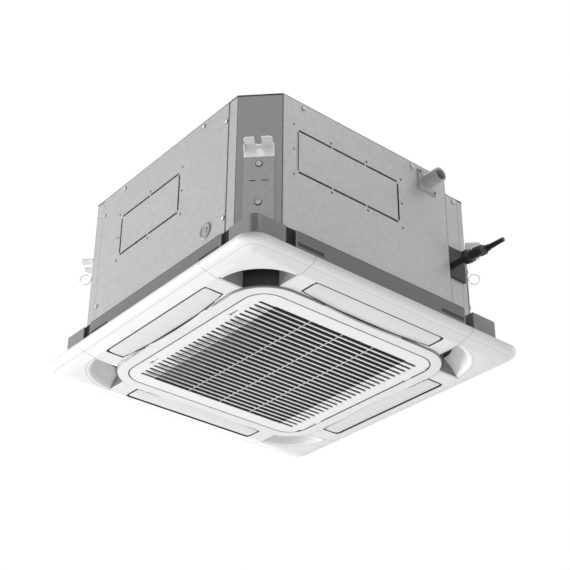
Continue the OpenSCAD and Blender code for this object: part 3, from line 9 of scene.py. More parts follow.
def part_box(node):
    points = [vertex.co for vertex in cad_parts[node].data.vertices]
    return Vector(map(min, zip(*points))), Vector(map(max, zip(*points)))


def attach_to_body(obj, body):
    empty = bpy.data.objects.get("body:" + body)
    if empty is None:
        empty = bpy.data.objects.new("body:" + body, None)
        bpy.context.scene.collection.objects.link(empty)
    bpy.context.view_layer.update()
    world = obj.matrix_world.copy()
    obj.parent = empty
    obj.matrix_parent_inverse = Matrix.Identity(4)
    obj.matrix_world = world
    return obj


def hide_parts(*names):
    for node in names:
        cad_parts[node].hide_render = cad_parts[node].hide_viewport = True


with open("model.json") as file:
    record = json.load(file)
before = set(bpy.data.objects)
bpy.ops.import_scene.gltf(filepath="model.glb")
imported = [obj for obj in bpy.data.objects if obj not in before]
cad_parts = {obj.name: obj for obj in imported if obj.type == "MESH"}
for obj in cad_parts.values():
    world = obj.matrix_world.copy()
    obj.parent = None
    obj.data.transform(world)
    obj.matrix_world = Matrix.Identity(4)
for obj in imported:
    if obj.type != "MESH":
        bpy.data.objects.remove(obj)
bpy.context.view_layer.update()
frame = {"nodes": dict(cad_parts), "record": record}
nodes = frame["nodes"]
print("frame loaded,", len(nodes), "nodes")


class Wire:
    # a socket that can stand in plain arithmetic
    def __init__(self, graph, socket):
        self.graph, self.socket = graph, socket

    def __add__(self, other):
        return self.graph.maths("ADD", self, other)

    def __sub__(self, other):
        return self.graph.maths("SUBTRACT", self, other)

    def __rsub__(self, other):
        return self.graph.maths("SUBTRACT", other, self)

    def __mul__(self, other):
        return self.graph.maths("MULTIPLY", self, other)

    def __abs__(self):
        return self.graph.maths("ABSOLUTE", self, 0.0)

    def __gt__(self, other):
        return self.graph.maths("GREATER_THAN", self, other)

    def __lt__(self, other):
        return self.graph.maths("LESS_THAN", self, other)

    __radd__ = __add__
    __rmul__ = __mul__


class Graph:
    # any node tree: node() takes the type, its settings, then its sockets
    def __init__(self, tree):
        self.tree, self.nodes, self.links = tree, tree.nodes, tree.links
        self.nodes.clear()

    def node(self, kind, settings=None, sockets=None, out=0):
        made = self.nodes.new(kind)
        for key, value in (settings or {}).items():
            if key == "stops":
                self.setStops(made.color_ramp, value)
            else:
                setattr(made, key, value)
        pairs = sockets.items() if isinstance(sockets, dict) else enumerate(sockets or [])
        for key, value in pairs:
            if isinstance(value, Wire):
                self.links.new(value.socket, made.inputs[key])
            elif getattr(made.inputs[key], "type", "") == "RGBA":
                made.inputs[key].default_value = (*value[:3], 1)
            else:
                made.inputs[key].default_value = value
        return Wire(self, made.outputs[out]) if made.outputs else made

    def maths(self, operation, first, second=0.0):
        return self.node("ShaderNodeMath", {"operation": operation}, [first, second])

    def setStops(self, ramp, stops):
        while len(ramp.elements) > 1:
            ramp.elements.remove(ramp.elements[-1])
        for i, (place, level) in enumerate(stops):
            stop = ramp.elements[0] if i == 0 else ramp.elements.new(place)
            stop.position, stop.color = place, (level, level, level, 1)


def shade(colour, by):
    return tuple(min(1, c * by) for c in colour)


class Paint(Graph):
    # a material whose patterns follow the piece's own coordinates
    def __init__(self, name):
        self.material = bpy.data.materials.new(name)
        self.material.use_nodes = True
        super().__init__(self.material.node_tree)
        self.point = self.node("ShaderNodeTexCoord", out="Object")

    def noise(self, size, detail=2.0, rough=0.5, stretch=None):
        where = self.point
        if stretch:
            where = self.node("ShaderNodeMapping", {}, {"Vector": where, "Scale": stretch})
        return self.node("ShaderNodeTexNoise", {}, {
            "Vector": where, "Scale": 1 / size, "Detail": detail, "Roughness": rough})

    def cells(self, size, out="Distance", feature="F1"):
        return self.node("ShaderNodeTexVoronoi", {"feature": feature}, {
            "Vector": self.point, "Scale": 1 / size}, out)

    def grey(self, colour):
        return self.node("ShaderNodeRGBToBW", {}, [colour])

    def ramp(self, value, start, end):
        return self.grey(self.node("ShaderNodeValToRGB", {"stops": ((start, 0), (end, 1))}, [value]))

    def blend(self, share, low, high):
        return self.node("ShaderNodeMix", {"data_type": "RGBA"}, {0: share, 6: low, 7: high}, 2)

    def tones(self, share, colour, dark, pale):
        # one colour between a darker and a paler shade of itself
        return self.blend(share, shade(colour, dark), shade(colour, pale))

    def edges(self, radius, lean=(0.03, 0.3)):
        # a normal that rolls over every edge, and how far it leans from the flat face there
        rolled = self.node("ShaderNodeBevel", {"samples": 4}, {"Radius": radius})
        flat = self.node("ShaderNodeNewGeometry", out="True Normal")
        along = self.node("ShaderNodeVectorMath", {"operation": "DOT_PRODUCT"}, [rolled, flat], "Value")
        return rolled, self.ramp(1 - along, *lean)

    def axes(self):
        split = self.node("ShaderNodeSeparateXYZ", {}, [self.point])
        return [Wire(self, split.socket.node.outputs[i]) for i in range(3)]

    def square(self):
        # the larger and the smaller distance from the middle of the square, and the height
        x, y, z = self.axes()
        return self.maths("MAXIMUM", abs(x), abs(y)), self.maths("MINIMUM", abs(x), abs(y)), z

    def pastCorner(self, first, second, radius):
        # distance from a rounded corner's line, from the distances past its two straight parts
        first, second = self.maths("MAXIMUM", first), self.maths("MAXIMUM", second)
        return self.maths("SQRT", first * first + second * second) - radius

    def bump(self, height, depth, below):
        return self.node("ShaderNodeBump", {}, {
            "Height": height, "Strength": 1.0, "Distance": depth, "Normal": below})

    def finish(self, **sockets):
        names = {key.replace("_", " "): value for key, value in sockets.items()}
        shader = self.node("ShaderNodeBsdfPrincipled", {}, names)
        self.node("ShaderNodeOutputMaterial", {}, [shader])
        return self.material


class Growth(Graph):
    # a geometry tree that grows copies of one shape on a seat mesh, with named inputs for its sizes
    def __init__(self, name, sizes):
        tree = bpy.data.node_groups.new(name, "GeometryNodeTree")
        super().__init__(tree)
        for way in ("INPUT", "OUTPUT"):
            tree.interface.new_socket("Geometry", in_out=way, socket_type="NodeSocketGeometry")
        self.sizes = {}
        for key, value in sizes.items():
            socket = tree.interface.new_socket(key, in_out="INPUT", socket_type="NodeSocketFloat")
            self.sizes[socket.identifier] = value
        entry = self.nodes.new("NodeGroupInput")
        self.seat = Wire(self, entry.outputs["Geometry"])
        self.given = {key: Wire(self, entry.outputs[key]) for key in sizes}

    def attribute(self, key, kind):
        return self.node("GeometryNodeInputNamedAttribute", {"data_type": kind}, {"Name": key})

    def vector(self, x, y, z):
        return self.node("ShaderNodeCombineXYZ", {}, [x, y, z])

    def copies(self, points, shape, axis, along, scale=(1, 1, 1), pivot="AUTO"):
        turned = self.node("FunctionNodeAlignRotationToVector", {"axis": axis, "pivot_axis": pivot},
                           {"Vector": along})
        return self.node("GeometryNodeInstanceOnPoints", {}, {
            "Points": points, "Instance": shape, "Rotation": turned, "Scale": scale})

    def grow(self, grown, mesh, material):
        # runs the tree on the seat mesh and returns the plain piece that comes out
        real = self.node("GeometryNodeRealizeInstances", {}, [grown])
        coated = self.node("GeometryNodeSetMaterial", {}, {"Geometry": real, "Material": material})
        self.node("NodeGroupOutput", {}, [coated])
        seat = linked(mesh.name + "Seat", mesh)
        modifier = seat.modifiers.new("grow", "NODES")
        modifier.node_group = self.tree
        for identifier, value in self.sizes.items():
            modifier[identifier] = value
        return settle(seat, mesh.name)


def slatField(paint, zone):
    # 1 on the grille's slats and their gaps
    x, y, _ = paint.axes()
    return (abs(x) < zone["across"]) * (abs(y) < zone["along"])


def insideSlats(paint, zone):
    # 1 above the face of the slats, inside their field
    return slatField(paint, zone) * (paint.axes()[2] > zone["above"])


def insideSlots(paint, zone):
    # 1 on the walls of the four vane slots, above the panel's face
    out, side, z = paint.square()
    return (out > zone["inner"]) * (out < zone["outer"]) * (side < zone["half"]) * (z > zone["above"])


def endWalls(paint, zone):
    # 1 on the upright ends of the corner outlets
    _, side, _ = paint.square()
    return side < zone["below"]


def cornerBlocks(paint, zone):
    # 1 past the ends of the rails
    _, side, _ = paint.square()
    return side > zone["from"]


def onPosts(paint, zone):
    # 1 on the slanted corners of the body
    x, y, _ = paint.axes()
    return abs(x) + abs(y) > zone["from"]


def hangerTab(paint, zone):
    # 1 on the tab and its gussets
    return paint.axes()[2] > zone["from"]


def pastWall(paint, zone):
    # 1 outside the wall that the pipes come through
    return paint.axes()[0] > zone["from"]


def squareLine(paint, line):
    # 1 on a line that follows a square with rounded corners, seen from below
    x, y, _ = paint.axes()
    straight = line["half"] - line["round"]
    away = paint.pastCorner(abs(x) - straight, abs(y) - straight, line["round"])
    return abs(away) < line["width"] / 2


def vaneLine(paint, line):
    # 1 along the outer edge and the ends of the four vanes, on both sides of their gap
    out, side, _ = paint.square()
    bend = line["round"]
    away = paint.pastCorner(out - (line["outer"] - bend), side - (line["half"] - bend), bend)
    return (away > -line["inside"]) * (away < line["outside"]) * (out > line["from"])


def cornerSeam(paint, line):
    # 1 on the seams between the panel and its corner covers, outside the ring
    out, side, _ = paint.square()
    return (abs(side - line["at"]) < line["width"] / 2) * (out > line["from"])


def railBand(paint, line):
    # 1 on a level band of the rails, between two distances from the middle of their side
    _, side, z = paint.square()
    return (side > line["from"]) * (side < line["to"]) * (z > line["low"]) * (z < line["high"])


def flangeScrews(paint, line):
    # 1 on two opposite screws of the drain outlet's flange, each a small square on its corner
    x, y, z = paint.axes()
    across, up = y - line["y"], z - line["z"]
    away = paint.maths("MAXIMUM", abs(across + up), abs(abs(across - up) - 2 * line["away"]))
    return (away < line["half"]) * (x < line["below"])


plasticFinish = {
    "round": 0.0006, "tone": 0.015, "grainRough": 0.12,
    "dustColour": (0.5, 0.49, 0.47), "dustSize": 0.004, "dustFrom": 0.55, "dustTo": 0.72, "dustRough": 0.2,
    "rub": 0.3, "rubSize": 0.01, "rubShade": 1.1, "edgeSmooth": 0.06, "borderLean": (0.002, 0.02),
    "mottle": 0.006, "zoneSpread": 0.5,
}


def mouldedPlastic(name, look):
    # fine spark-eroded grain, a faint flow pattern, rubbed edges and a breath of dust
    look = {**plasticFinish, **look}
    colour = look["colour"]
    paint = Paint(name)
    rolled, edge = paint.edges(look["round"])
    flow = paint.noise(look["flow"], detail=3)
    grain = paint.noise(look["grain"], detail=2, rough=0.6)
    specks = paint.noise(look["dustSize"], detail=5, rough=0.7)
    dust = paint.ramp(specks, look["dustFrom"], look["dustTo"]) * look["dust"]
    base = paint.tones(flow, colour, 1 - look["tone"], 1 + look["tone"])
    base = paint.blend(dust, base, look["dustColour"])
    rubbed = edge * paint.noise(look["rubSize"], detail=3) * look["rub"]
    base = paint.blend(rubbed, base, shade(colour, look["rubShade"]))
    # painted shade: a dark border along the edges of the grille's slats and of the vanes
    if "border" in look:
        _, rim = paint.edges(look["borderRound"], look["borderLean"])
        if "borderZone" in look:
            rim = rim * look["borderZone"](paint, look["zoneSize"])
        base = paint.blend(rim, base, shade(colour, look["border"]))
    # darker painted lines: painted shade in creases, gaps and slots, besides the dark seams of the covers and
    # the flange's screws
    for line in look.get("lines", ()):
        base = paint.blend(line["path"](paint, line), base, shade(colour, line["shade"]))
    # a zone in a colour of its own: painted shade on the vane slots' walls, above the slats' face and on the
    # outlets' end walls, and a paler grey on the rails' corner blocks
    if "zone" in look:
        mottle = paint.noise(look["mottle"], detail=3, rough=0.6)
        mottledZone = paint.tones(mottle, look["zoneColour"], 1 - look["zoneSpread"], 1 + look["zoneSpread"])
        base = paint.blend(look["zone"](paint, look["zoneSize"]), base, mottledZone)
    rough = look["rough"] + (grain - 0.5) * look["grainRough"]
    rough = rough + dust * look["dustRough"] - edge * look["edgeSmooth"]
    normal = paint.bump(flow, look["wave"], rolled)
    normal = paint.bump(grain, look["depth"], normal)
    return paint.finish(Base_Color=base, Roughness=rough, Normal=normal)


zincFinish = {
    "fineShare": 0.37, "smear": 0.03, "crystalWeight": 0.5, "fineWeight": 0.2, "cloudWeight": 0.2,
    "smearWeight": 0.1, "zoneTone": 0.08, "crystalRough": 0.1, "smearRough": 0.16, "fineMetal": 0.08,
}


def zincSheet(name, look):
    # hot-dip zinc: small flat crystals, rolling streaks, handling smears, edges and one zone painted as shade
    # on the body, as highlight on the hanger
    look = {**zincFinish, **look}
    colour = look["colour"]
    paint = Paint(name)
    rolled, _ = paint.edges(look["round"])
    _, edge = paint.edges(look["line"], look["lean"])
    crystal = paint.grey(paint.cells(look["crystal"], "Color"))
    fine = paint.grey(paint.cells(look["crystal"] * look["fineShare"], "Color"))
    cloud = paint.noise(look["cloud"], detail=3)
    smear = paint.noise(look["smear"], detail=4, rough=0.6, stretch=look["streak"])
    level = (crystal * look["crystalWeight"] + fine * look["fineWeight"]
             + cloud * look["cloudWeight"] + smear * look["smearWeight"])
    base = paint.tones(level, colour, 1 - look["contrast"], 1 + look["contrast"])
    zoned = paint.tones(level, look["zoneColour"], 1 - look["zoneTone"], 1 + look["zoneTone"])
    # painted shade on the body's slanted corner posts, painted highlight on the hanger's tab
    base = paint.blend(look["zone"](paint, look["zoneSize"]), base, zoned)
    # painted shade as dark lines along the body's edges and slots, painted highlight as bright lines along
    # the hanger's edges
    base = paint.blend(edge, base, shade(colour, look["edge"]))
    rough = look["rough"] + (crystal - 0.5) * look["crystalRough"] + (smear - 0.5) * look["smearRough"]
    metal = look["metal"] + (fine - 0.5) * look["fineMetal"]
    normal = paint.bump(paint.cells(look["crystal"]), look["depth"], rolled)
    normal = paint.bump(cloud, look["dent"], normal)
    return paint.finish(Base_Color=base, Roughness=rough, Metallic=metal, Normal=normal)


foamFinish = {
    "round": 0.0015, "wallShare": 2.6, "cloud": 0.05, "pitWeight": 0.7, "cloudWeight": 0.3, "dark": 0.8,
    "pale": 1.15, "edgeShare": 0.3, "edgeShade": 1.4, "wallDepth": 2, "rough": 0.9, "cloudRough": 0.1,
}


def foam(name, look):
    # closed cell foam: small pits, soft cloudy tone, rounded edges
    look = {**foamFinish, **look}
    paint = Paint(name)
    rolled, edge = paint.edges(look["round"])
    pits = paint.cells(look["cell"])
    wall = paint.cells(look["cell"] * look["wallShare"], feature="DISTANCE_TO_EDGE")
    cloud = paint.noise(look["cloud"], detail=3)
    level = pits * look["pitWeight"] + cloud * look["cloudWeight"]
    base = paint.tones(level, look["colour"], look["dark"], look["pale"])
    base = paint.blend(edge * look["edgeShare"], base, shade(look["colour"], look["edgeShade"]))
    rough = look["rough"] + (cloud - 0.5) * look["cloudRough"]
    normal = paint.bump(wall, look["depth"] * look["wallDepth"], rolled)
    normal = paint.bump(pits, look["depth"], normal)
    return paint.finish(Base_Color=base, Roughness=rough, Normal=normal)


metalFinish = {
    "round": 0.0003, "dark": 0.92, "pale": 1.06, "stainFrom": 0.42, "stainTo": 0.68, "edgeShare": 0.4,
    "edgeShade": 1.25, "lineRough": 0.15, "stainRough": 0.12, "stainMetal": 0.15, "zoneDark": 0.7,
    "zonePale": 1.3, "zoneRough": 0.4,
}


def metalSurface(name, look):
    # drawn, turned or plated metal with light tarnish and bright edges
    look = {**metalFinish, **look}
    colour = look["colour"]
    paint = Paint(name)
    rolled, edge = paint.edges(look["round"])
    lines = paint.noise(look["line"], detail=3, rough=0.6, stretch=look["stretch"])
    stain = paint.ramp(paint.noise(look["stain"], detail=5, rough=0.65), look["stainFrom"], look["stainTo"])
    base = paint.tones(lines, colour, look["dark"], look["pale"])
    base = paint.blend(stain * look["tarnish"], base, look["tarnishColour"])
    base = paint.blend(edge * look["edgeShare"], base, shade(colour, look["edgeShade"]))
    rough = look["rough"] + (lines - 0.5) * look["lineRough"] + stain * look["stainRough"]
    metal = look["metal"] - stain * look["stainMetal"]
    if "zone" in look:
        lagged = look["zone"](paint, look["zoneSize"])
        lagging = paint.tones(lines, look["zoneColour"], look["zoneDark"], look["zonePale"])
        base = paint.blend(lagged, base, lagging)
        rough, metal = rough + lagged * look["zoneRough"], metal * (1 - lagged)
    # painted shade: the washer under each head painted near black, a dark ring round the screw
    if "rings" in look:
        washer = paint.node("ShaderNodeAttribute", {"attribute_name": look["rings"]}, out="Fac")
        base = paint.blend(washer, base, shade(colour, look["ringShade"]))
        metal = metal * (1 - washer)
    normal = paint.bump(lines, look["depth"], rolled)
    return paint.finish(Base_Color=base, Roughness=rough, Metallic=metal, Normal=normal)


# painted shade along both sides of the gap round each vane
vaneGapShade = {"path": vaneLine, "outer": 0.284, "half": 0.151, "round": 0.008, "inside": 0.0012,
            "outside": 0.003, "from": 0.2465, "shade": 0.04}
plastics = {
    "panelWhite": {
        "colour": (0.785, 0.787, 0.783), "rough": 0.34, "grain": 0.0006, "depth": 0.00001, "flow": 0.12,
        "wave": 0.0002, "dust": 0.03, "round": 0.0009,
        "lines": (
            # painted shade: a faint line at the rim's crease, a dark band at the ring's side, a dark line at
            # the grille seam and dark lines along the vane gaps; the covers' seams are dark joints
            {"path": squareLine, "half": 0.31, "round": 0.021, "width": 0.0012, "shade": 0.72},  # rim
            {"path": squareLine, "half": 0.2404, "round": 0.0794, "width": 0.0034, "shade": 0.3},  # ring
            {"path": squareLine, "half": 0.2147, "round": 0.045, "width": 0.0016, "shade": 0.16},  # grille
            {"path": cornerSeam, "at": 0.1882, "from": 0.242, "width": 0.0012, "shade": 0.6},  # covers
            vaneGapShade),
        # painted shade on the walls inside the vane slots
        "zone": insideSlots, "zoneColour": (0.02, 0.02, 0.021),
        "zoneSize": {"inner": 0.2345, "outer": 0.2868, "half": 0.1538, "above": -0.0179}},
    "grilleWhite": {
        "colour": (0.83, 0.832, 0.828), "rough": 0.38, "grain": 0.0006, "depth": 0.00001, "flow": 0.09,
        "wave": 0.0001, "dust": 0.05, "round": 0.0007,
        # painted shade: dark borders on the slats' edges, a dark line at the grille seam, and the slats'
        # sides above their face painted dark
        "border": 0.5, "borderRound": 0.0022, "borderZone": slatField,
        "lines": ({"path": squareLine, "half": 0.2135, "round": 0.0438, "width": 0.0014, "shade": 0.16},),
        "zone": insideSlats, "zoneColour": (0.1, 0.1, 0.102),
        "zoneSize": {"across": 0.1849, "along": 0.1866, "above": -0.0211}},
    "vaneGrey": {
        "colour": (0.72, 0.722, 0.72), "rough": 0.46, "grain": 0.0008, "depth": 0.00002, "flow": 0.1,
        # painted shade: a dark border round each vane, and the dark line along its gap
        "wave": 0.0002, "dust": 0.04, "border": 0.04, "borderRound": 0.0021, "lines": (vaneGapShade,)},
    "outletGrey": {
        "colour": (0.79, 0.792, 0.795), "rough": 0.5, "grain": 0.0008, "depth": 0.00002, "flow": 0.05,
        "wave": 0.0001, "dust": 0.05, "round": 0.0004,
        # painted shade on the upright end walls of the corner outlets
        "zone": endWalls, "zoneColour": (0.26, 0.261, 0.264), "zoneSpread": 0.1,
        "zoneSize": {"below": 0.1931}},
    "indicatorGrey": {
        "colour": (0.8, 0.803, 0.806), "rough": 0.2, "grain": 0.0005, "depth": 0.000004, "flow": 0.03,
        "wave": 0.00002, "dust": 0.02},
    "motorPlastic": {
        "colour": (0.42, 0.44, 0.46), "rough": 0.48, "grain": 0.0007, "depth": 0.00002, "flow": 0.03,
        "wave": 0.0001, "dust": 0.06},
    "frameGrey": {
        "colour": (0.18, 0.181, 0.185), "rough": 0.55, "grain": 0.0009, "depth": 0.00003, "flow": 0.06,
        "wave": 0.0002, "dust": 0.12, "dustColour": (0.22, 0.22, 0.22),
        "lines": (
            # painted shade for the slit at each end of a rail, and a darker band along its top edge
            {"path": railBand, "from": 0.142, "to": 0.2042, "low": 0.031, "high": 0.0385, "shade": 0.04},
            {"path": railBand, "from": -1, "to": 0.2042, "low": 0.0582, "high": 0.0605, "shade": 0.4}),
        "zone": cornerBlocks, "zoneColour": (0.26, 0.261, 0.265), "zoneSpread": 0.1,
        "zoneSize": {"from": 0.2005}},
    "capGrey": {
        "colour": (0.4, 0.402, 0.41), "rough": 0.45, "grain": 0.0007, "depth": 0.00002, "flow": 0.02,
        "wave": 0.0001, "dust": 0.05},
    "bellGrey": {
        "colour": (0.55, 0.55, 0.54), "rough": 0.5, "grain": 0.0009, "depth": 0.00002, "flow": 0.08,
        "wave": 0.0003, "dust": 0.12, "dustColour": (0.35, 0.34, 0.32)},
    "blackPlastic": {
        "colour": (0.012, 0.012, 0.013), "rough": 0.4, "grain": 0.0007, "depth": 0.00002, "flow": 0.03,
        "wave": 0.0001, "dust": 0.1, "dustColour": (0.1, 0.1, 0.1)},
    "spigotGrey": {
        "colour": (0.5, 0.5, 0.49), "rough": 0.4, "grain": 0.0006, "depth": 0.00001, "flow": 0.04,
        "wave": 0.0001, "dust": 0.05,
        "lines": ({"path": flangeScrews, "y": 0.128, "z": 0.312, "away": 0.0184, "half": 0.0036,
                   "below": 0.294, "shade": 0.05},)},
    "pumpGrey": {
        "colour": (0.08, 0.082, 0.088), "rough": 0.5, "grain": 0.0008, "depth": 0.00002, "flow": 0.03,
        "wave": 0.0001, "dust": 0.1, "dustColour": (0.2, 0.2, 0.2)},
    "hoseRubber": {
        "colour": (0.045, 0.045, 0.047), "rough": 0.65, "grain": 0.0012, "depth": 0.00004, "flow": 0.04,
        "wave": 0.0002, "dust": 0.15, "dustColour": (0.16, 0.16, 0.16)},
    "floatWhite": {
        "colour": (0.78, 0.78, 0.77), "rough": 0.4, "grain": 0.0006, "depth": 0.00001, "flow": 0.02,
        "wave": 0.0001, "dust": 0.04},
    "floatBlue": {
        "colour": (0.03, 0.07, 0.19), "rough": 0.4, "grain": 0.0006, "depth": 0.00001, "flow": 0.02,
        "wave": 0.0001, "dust": 0.04},
    "fanDark": {
        "colour": (0.028, 0.028, 0.03), "rough": 0.48, "grain": 0.0009, "depth": 0.00002, "flow": 0.05,
        "wave": 0.0001, "dust": 0.2, "dustColour": (0.12, 0.115, 0.11)},
    "bushRubber": {
        "colour": (0.015, 0.015, 0.015), "rough": 0.7, "grain": 0.001, "depth": 0.00003, "flow": 0.02,
        "wave": 0.0001, "dust": 0.1, "dustColour": (0.1, 0.1, 0.1)},
    "netDark": {
        "colour": (0.07, 0.071, 0.075), "rough": 0.7, "grain": 0.001, "depth": 0.00003, "flow": 0.03,
        "wave": 0.0001, "dust": 0.3, "dustColour": (0.12, 0.12, 0.12)},
}
sheets = {
    "zincBody": {
        "colour": (0.5, 0.503, 0.51), "contrast": 0.14, "crystal": 0.006, "cloud": 0.16, "rough": 0.42,
        "metal": 0.4, "streak": (1, 1, 9), "depth": 0.00002, "dent": 0.0006, "round": 0.0004,
        # painted shade: dark lines along the edges and slots, and the slanted corner posts painted darker
        "line": 0.0024, "edge": 0.03, "lean": (0.004, 0.05),
        "zone": onPosts, "zoneColour": (0.37, 0.373, 0.38), "zoneSize": {"from": 0.515}},
    "zincHanger": {
        "colour": (0.37, 0.373, 0.38), "contrast": 0.16, "crystal": 0.004, "cloud": 0.06, "rough": 0.34,
        "metal": 0.6, "streak": (1, 1, 6), "depth": 0.00002, "dent": 0.0002, "round": 0.0006,
        # painted highlight: bright lines along the edges, and the tab painted near white
        "line": 0.0008, "edge": 1.6, "lean": (0.03, 0.3),
        "zone": hangerTab, "zoneColour": (0.95, 0.95, 0.95), "zoneSize": {"from": 0.205}},
}
foams = {
    "blackFoam": {"colour": (0.012, 0.012, 0.012), "cell": 0.0012, "depth": 0.0003},
    "greyFoam": {"colour": (0.05, 0.05, 0.052), "cell": 0.0016, "depth": 0.0004},
    "beadFoam": {"colour": (0.76, 0.76, 0.75), "cell": 0.0034, "depth": 0.0005},
}
metals = {
    "screwZinc": {
        "colour": (0.85, 0.85, 0.86), "rings": "washer", "ringShade": 0.08, "line": 0.0008,
        "stretch": (1, 1, 1), "stain": 0.006, "tarnish": 0.3, "tarnishColour": (0.6, 0.59, 0.58),
        "rough": 0.35, "depth": 0.00002, "metal": 0.3},
    "brightWire": {
        "colour": (0.62, 0.62, 0.63), "line": 0.001, "stretch": (1, 1, 0.2), "stain": 0.01, "tarnish": 0.2,
        "tarnishColour": (0.35, 0.34, 0.33), "rough": 0.26, "depth": 0.00001, "metal": 1.0},
    "finAluminium": {
        "colour": (0.68, 0.69, 0.71), "line": 0.002, "stretch": (1, 1, 0.3), "stain": 0.02, "tarnish": 0.2,
        "tarnishColour": (0.5, 0.49, 0.46), "rough": 0.36, "depth": 0.00001, "metal": 0.9},
    "copperPipe": {
        "colour": (0.71, 0.37, 0.24), "line": 0.0015, "stretch": (1, 1, 1), "stain": 0.012, "tarnish": 0.5,
        "tarnishColour": (0.28, 0.13, 0.08), "rough": 0.28, "depth": 0.00002, "metal": 1.0,
        "zone": pastWall, "zoneColour": (0.014, 0.014, 0.015), "zoneSize": {"from": 0.2545}},
    "motorSteel": {
        "colour": (0.36, 0.365, 0.37), "line": 0.003, "stretch": (1, 1, 3), "stain": 0.03, "tarnish": 0.25,
        "tarnishColour": (0.22, 0.22, 0.21), "rough": 0.42, "depth": 0.00004, "metal": 0.6},
    "groundSteel": {
        "colour": (0.6, 0.6, 0.61), "line": 0.0006, "stretch": (1, 1, 6), "stain": 0.01, "tarnish": 0.15,
        "tarnishColour": (0.3, 0.29, 0.28), "rough": 0.22, "depth": 0.00001, "metal": 1.0},
}
paints = {}
for maker, looks in ((mouldedPlastic, plastics), (zincSheet, sheets), (foam, foams), (metalSurface, metals)):
    for name, look in looks.items():
        paints[name] = maker(name, look)
print("materials made,", len(paints))

slotPaints = {
    "panel_white": "panelWhite", "grille_white": "grilleWhite", "vane_grey": "vaneGrey",
    "outlet_grey": "outletGrey", "indicator": "indicatorGrey", "motor_plastic": "motorPlastic",
    "filter_net": "netDark", "frame_plastic": "frameGrey", "black_foam": "blackFoam",
    "zinc_sheet": "zincBody", "hanger_steel": "zincHanger", "screw_steel": "screwZinc",
    "cap_plastic": "capGrey", "wire": "brightWire", "grey_foam": "greyFoam", "white_foam": "beadFoam",
    "bell_plastic": "bellGrey", "fins": "finAluminium", "copper": "copperPipe",
    "black_plastic": "blackPlastic", "spigot_plastic": "spigotGrey", "pump_plastic": "pumpGrey",
    "hose_rubber": "hoseRubber", "float_white": "floatWhite", "float_blue": "floatBlue",
    "motor_metal": "motorSteel", "shaft_steel": "groundSteel", "fan_plastic": "fanDark",
    "bush_rubber": "bushRubber",
}
for part in frame["record"]["subparts"]:
    node = nodes[part["node"]]
    node.data.materials.clear()
    node.data.materials.append(paints[slotPaints[part["material_slot"]]])
print("packed nodes finished")

bodies = frame["record"]["behaviour"]["bodies"]
riders = {member: body for body, members in bodies.items() for member in members}
slots = {part["node"]: part["material_slot"] for part in frame["record"]["subparts"]}


def linked(name, data):
    thing = bpy.data.objects.new(name, data)
    bpy.context.scene.collection.objects.link(thing)
    return thing


def settle(seat, name):
    # what a seat's modifiers make of it, as a plain mesh on a new object
    seen = seat.evaluated_get(bpy.context.evaluated_depsgraph_get())
    piece = linked(name, bpy.data.meshes.new_from_object(seen))
    bpy.data.objects.remove(seat)
    return piece


def attach(piece, node):
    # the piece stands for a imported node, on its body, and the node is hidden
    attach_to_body(piece, riders[node])
    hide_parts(node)


curved = {
    "weld": 0.000002, "sharpFrom": 30, "flatFirst": 50,
    "nodes": [
        "panel_frame", "corner_cover_front_right", "corner_cover_rear_right", "corner_cover_rear_left",
        "corner_cover_front_left", "vane_right", "vane_rear", "vane_left", "vane_front", "vane_motors",
        "intake_grille", "back_frame", "corner_blocks", "intake_shroud", "fresh_air_cap", "wire_hooks",
        "drain_tray", "bell_mouth", "coil_pipes", "gas_flare_nut", "liquid_flare_nut", "pipe_caps",
        "drain_spigot", "drain_hose", "drain_pump", "float", "fan_motor", "motor_mounts", "motor_shaft",
        "fan_impeller", "fan_shroud", "fan_nut"],
}


def mergedCopy(node):
    shell = bmesh.new()
    shell.from_mesh(nodes[node].data)
    bmesh.ops.remove_doubles(shell, verts=shell.verts, dist=curved["weld"])
    return shell


def meshFrom(name, shell, material, smooth=True):
    mesh = bpy.data.meshes.new(name)
    shell.to_mesh(mesh)
    shell.free()
    if smooth:
        for side in mesh.polygons:
            side.use_smooth = True
        mesh.set_sharp_from_angle(angle=math.radians(curved["sharpFrom"]))
    if material:
        mesh.materials.append(material)
    return mesh


def smoothed(name):
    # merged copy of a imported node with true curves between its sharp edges
    mesh = meshFrom(name + "Skin", mergedCopy(name), paints[slotPaints[slots[name]]])
    seat = linked(mesh.name + "Seat", mesh)
    weigh = seat.modifiers.new("flats", "WEIGHTED_NORMAL")
    weigh.weight, weigh.keep_sharp = curved["flatFirst"], True
    attach(settle(seat, name + "_skin"), name)


for name in curved["nodes"]:
    smoothed(name)
print("curved nodes smoothed,", len(curved["nodes"]))

scoop = {
    "node": "corner_outlets", "centre": 0.191, "steps": 30, "wall": 0.0014, "endGap": 0.0004, "top": 0.0122,
    # radius and height of the guide's inner face, from the cover's edge up
    "guide": ((0.0957, -0.0183), (0.0905, -0.0181), (0.0875, -0.0162), (0.084, -0.0118), (0.0795, -0.0062),
              (0.0725, 0.0002), (0.0645, 0.0062), (0.0575, 0.0108)),
    "inner": 0.0445, "outer": 0.0957, "face": -0.0183, "turn": (1, 89),
    # a black wall behind the ring's corner and a black roof over both, standing in for the shade deep in each
    # corner outlet
    "ringCentre": 0.161, "ringOut": 0.0806, "ringLow": -0.0185, "roofOut": 0.101, "roofLow": 0.0112,
    "ringTurn": (22.5, 67.5),
}


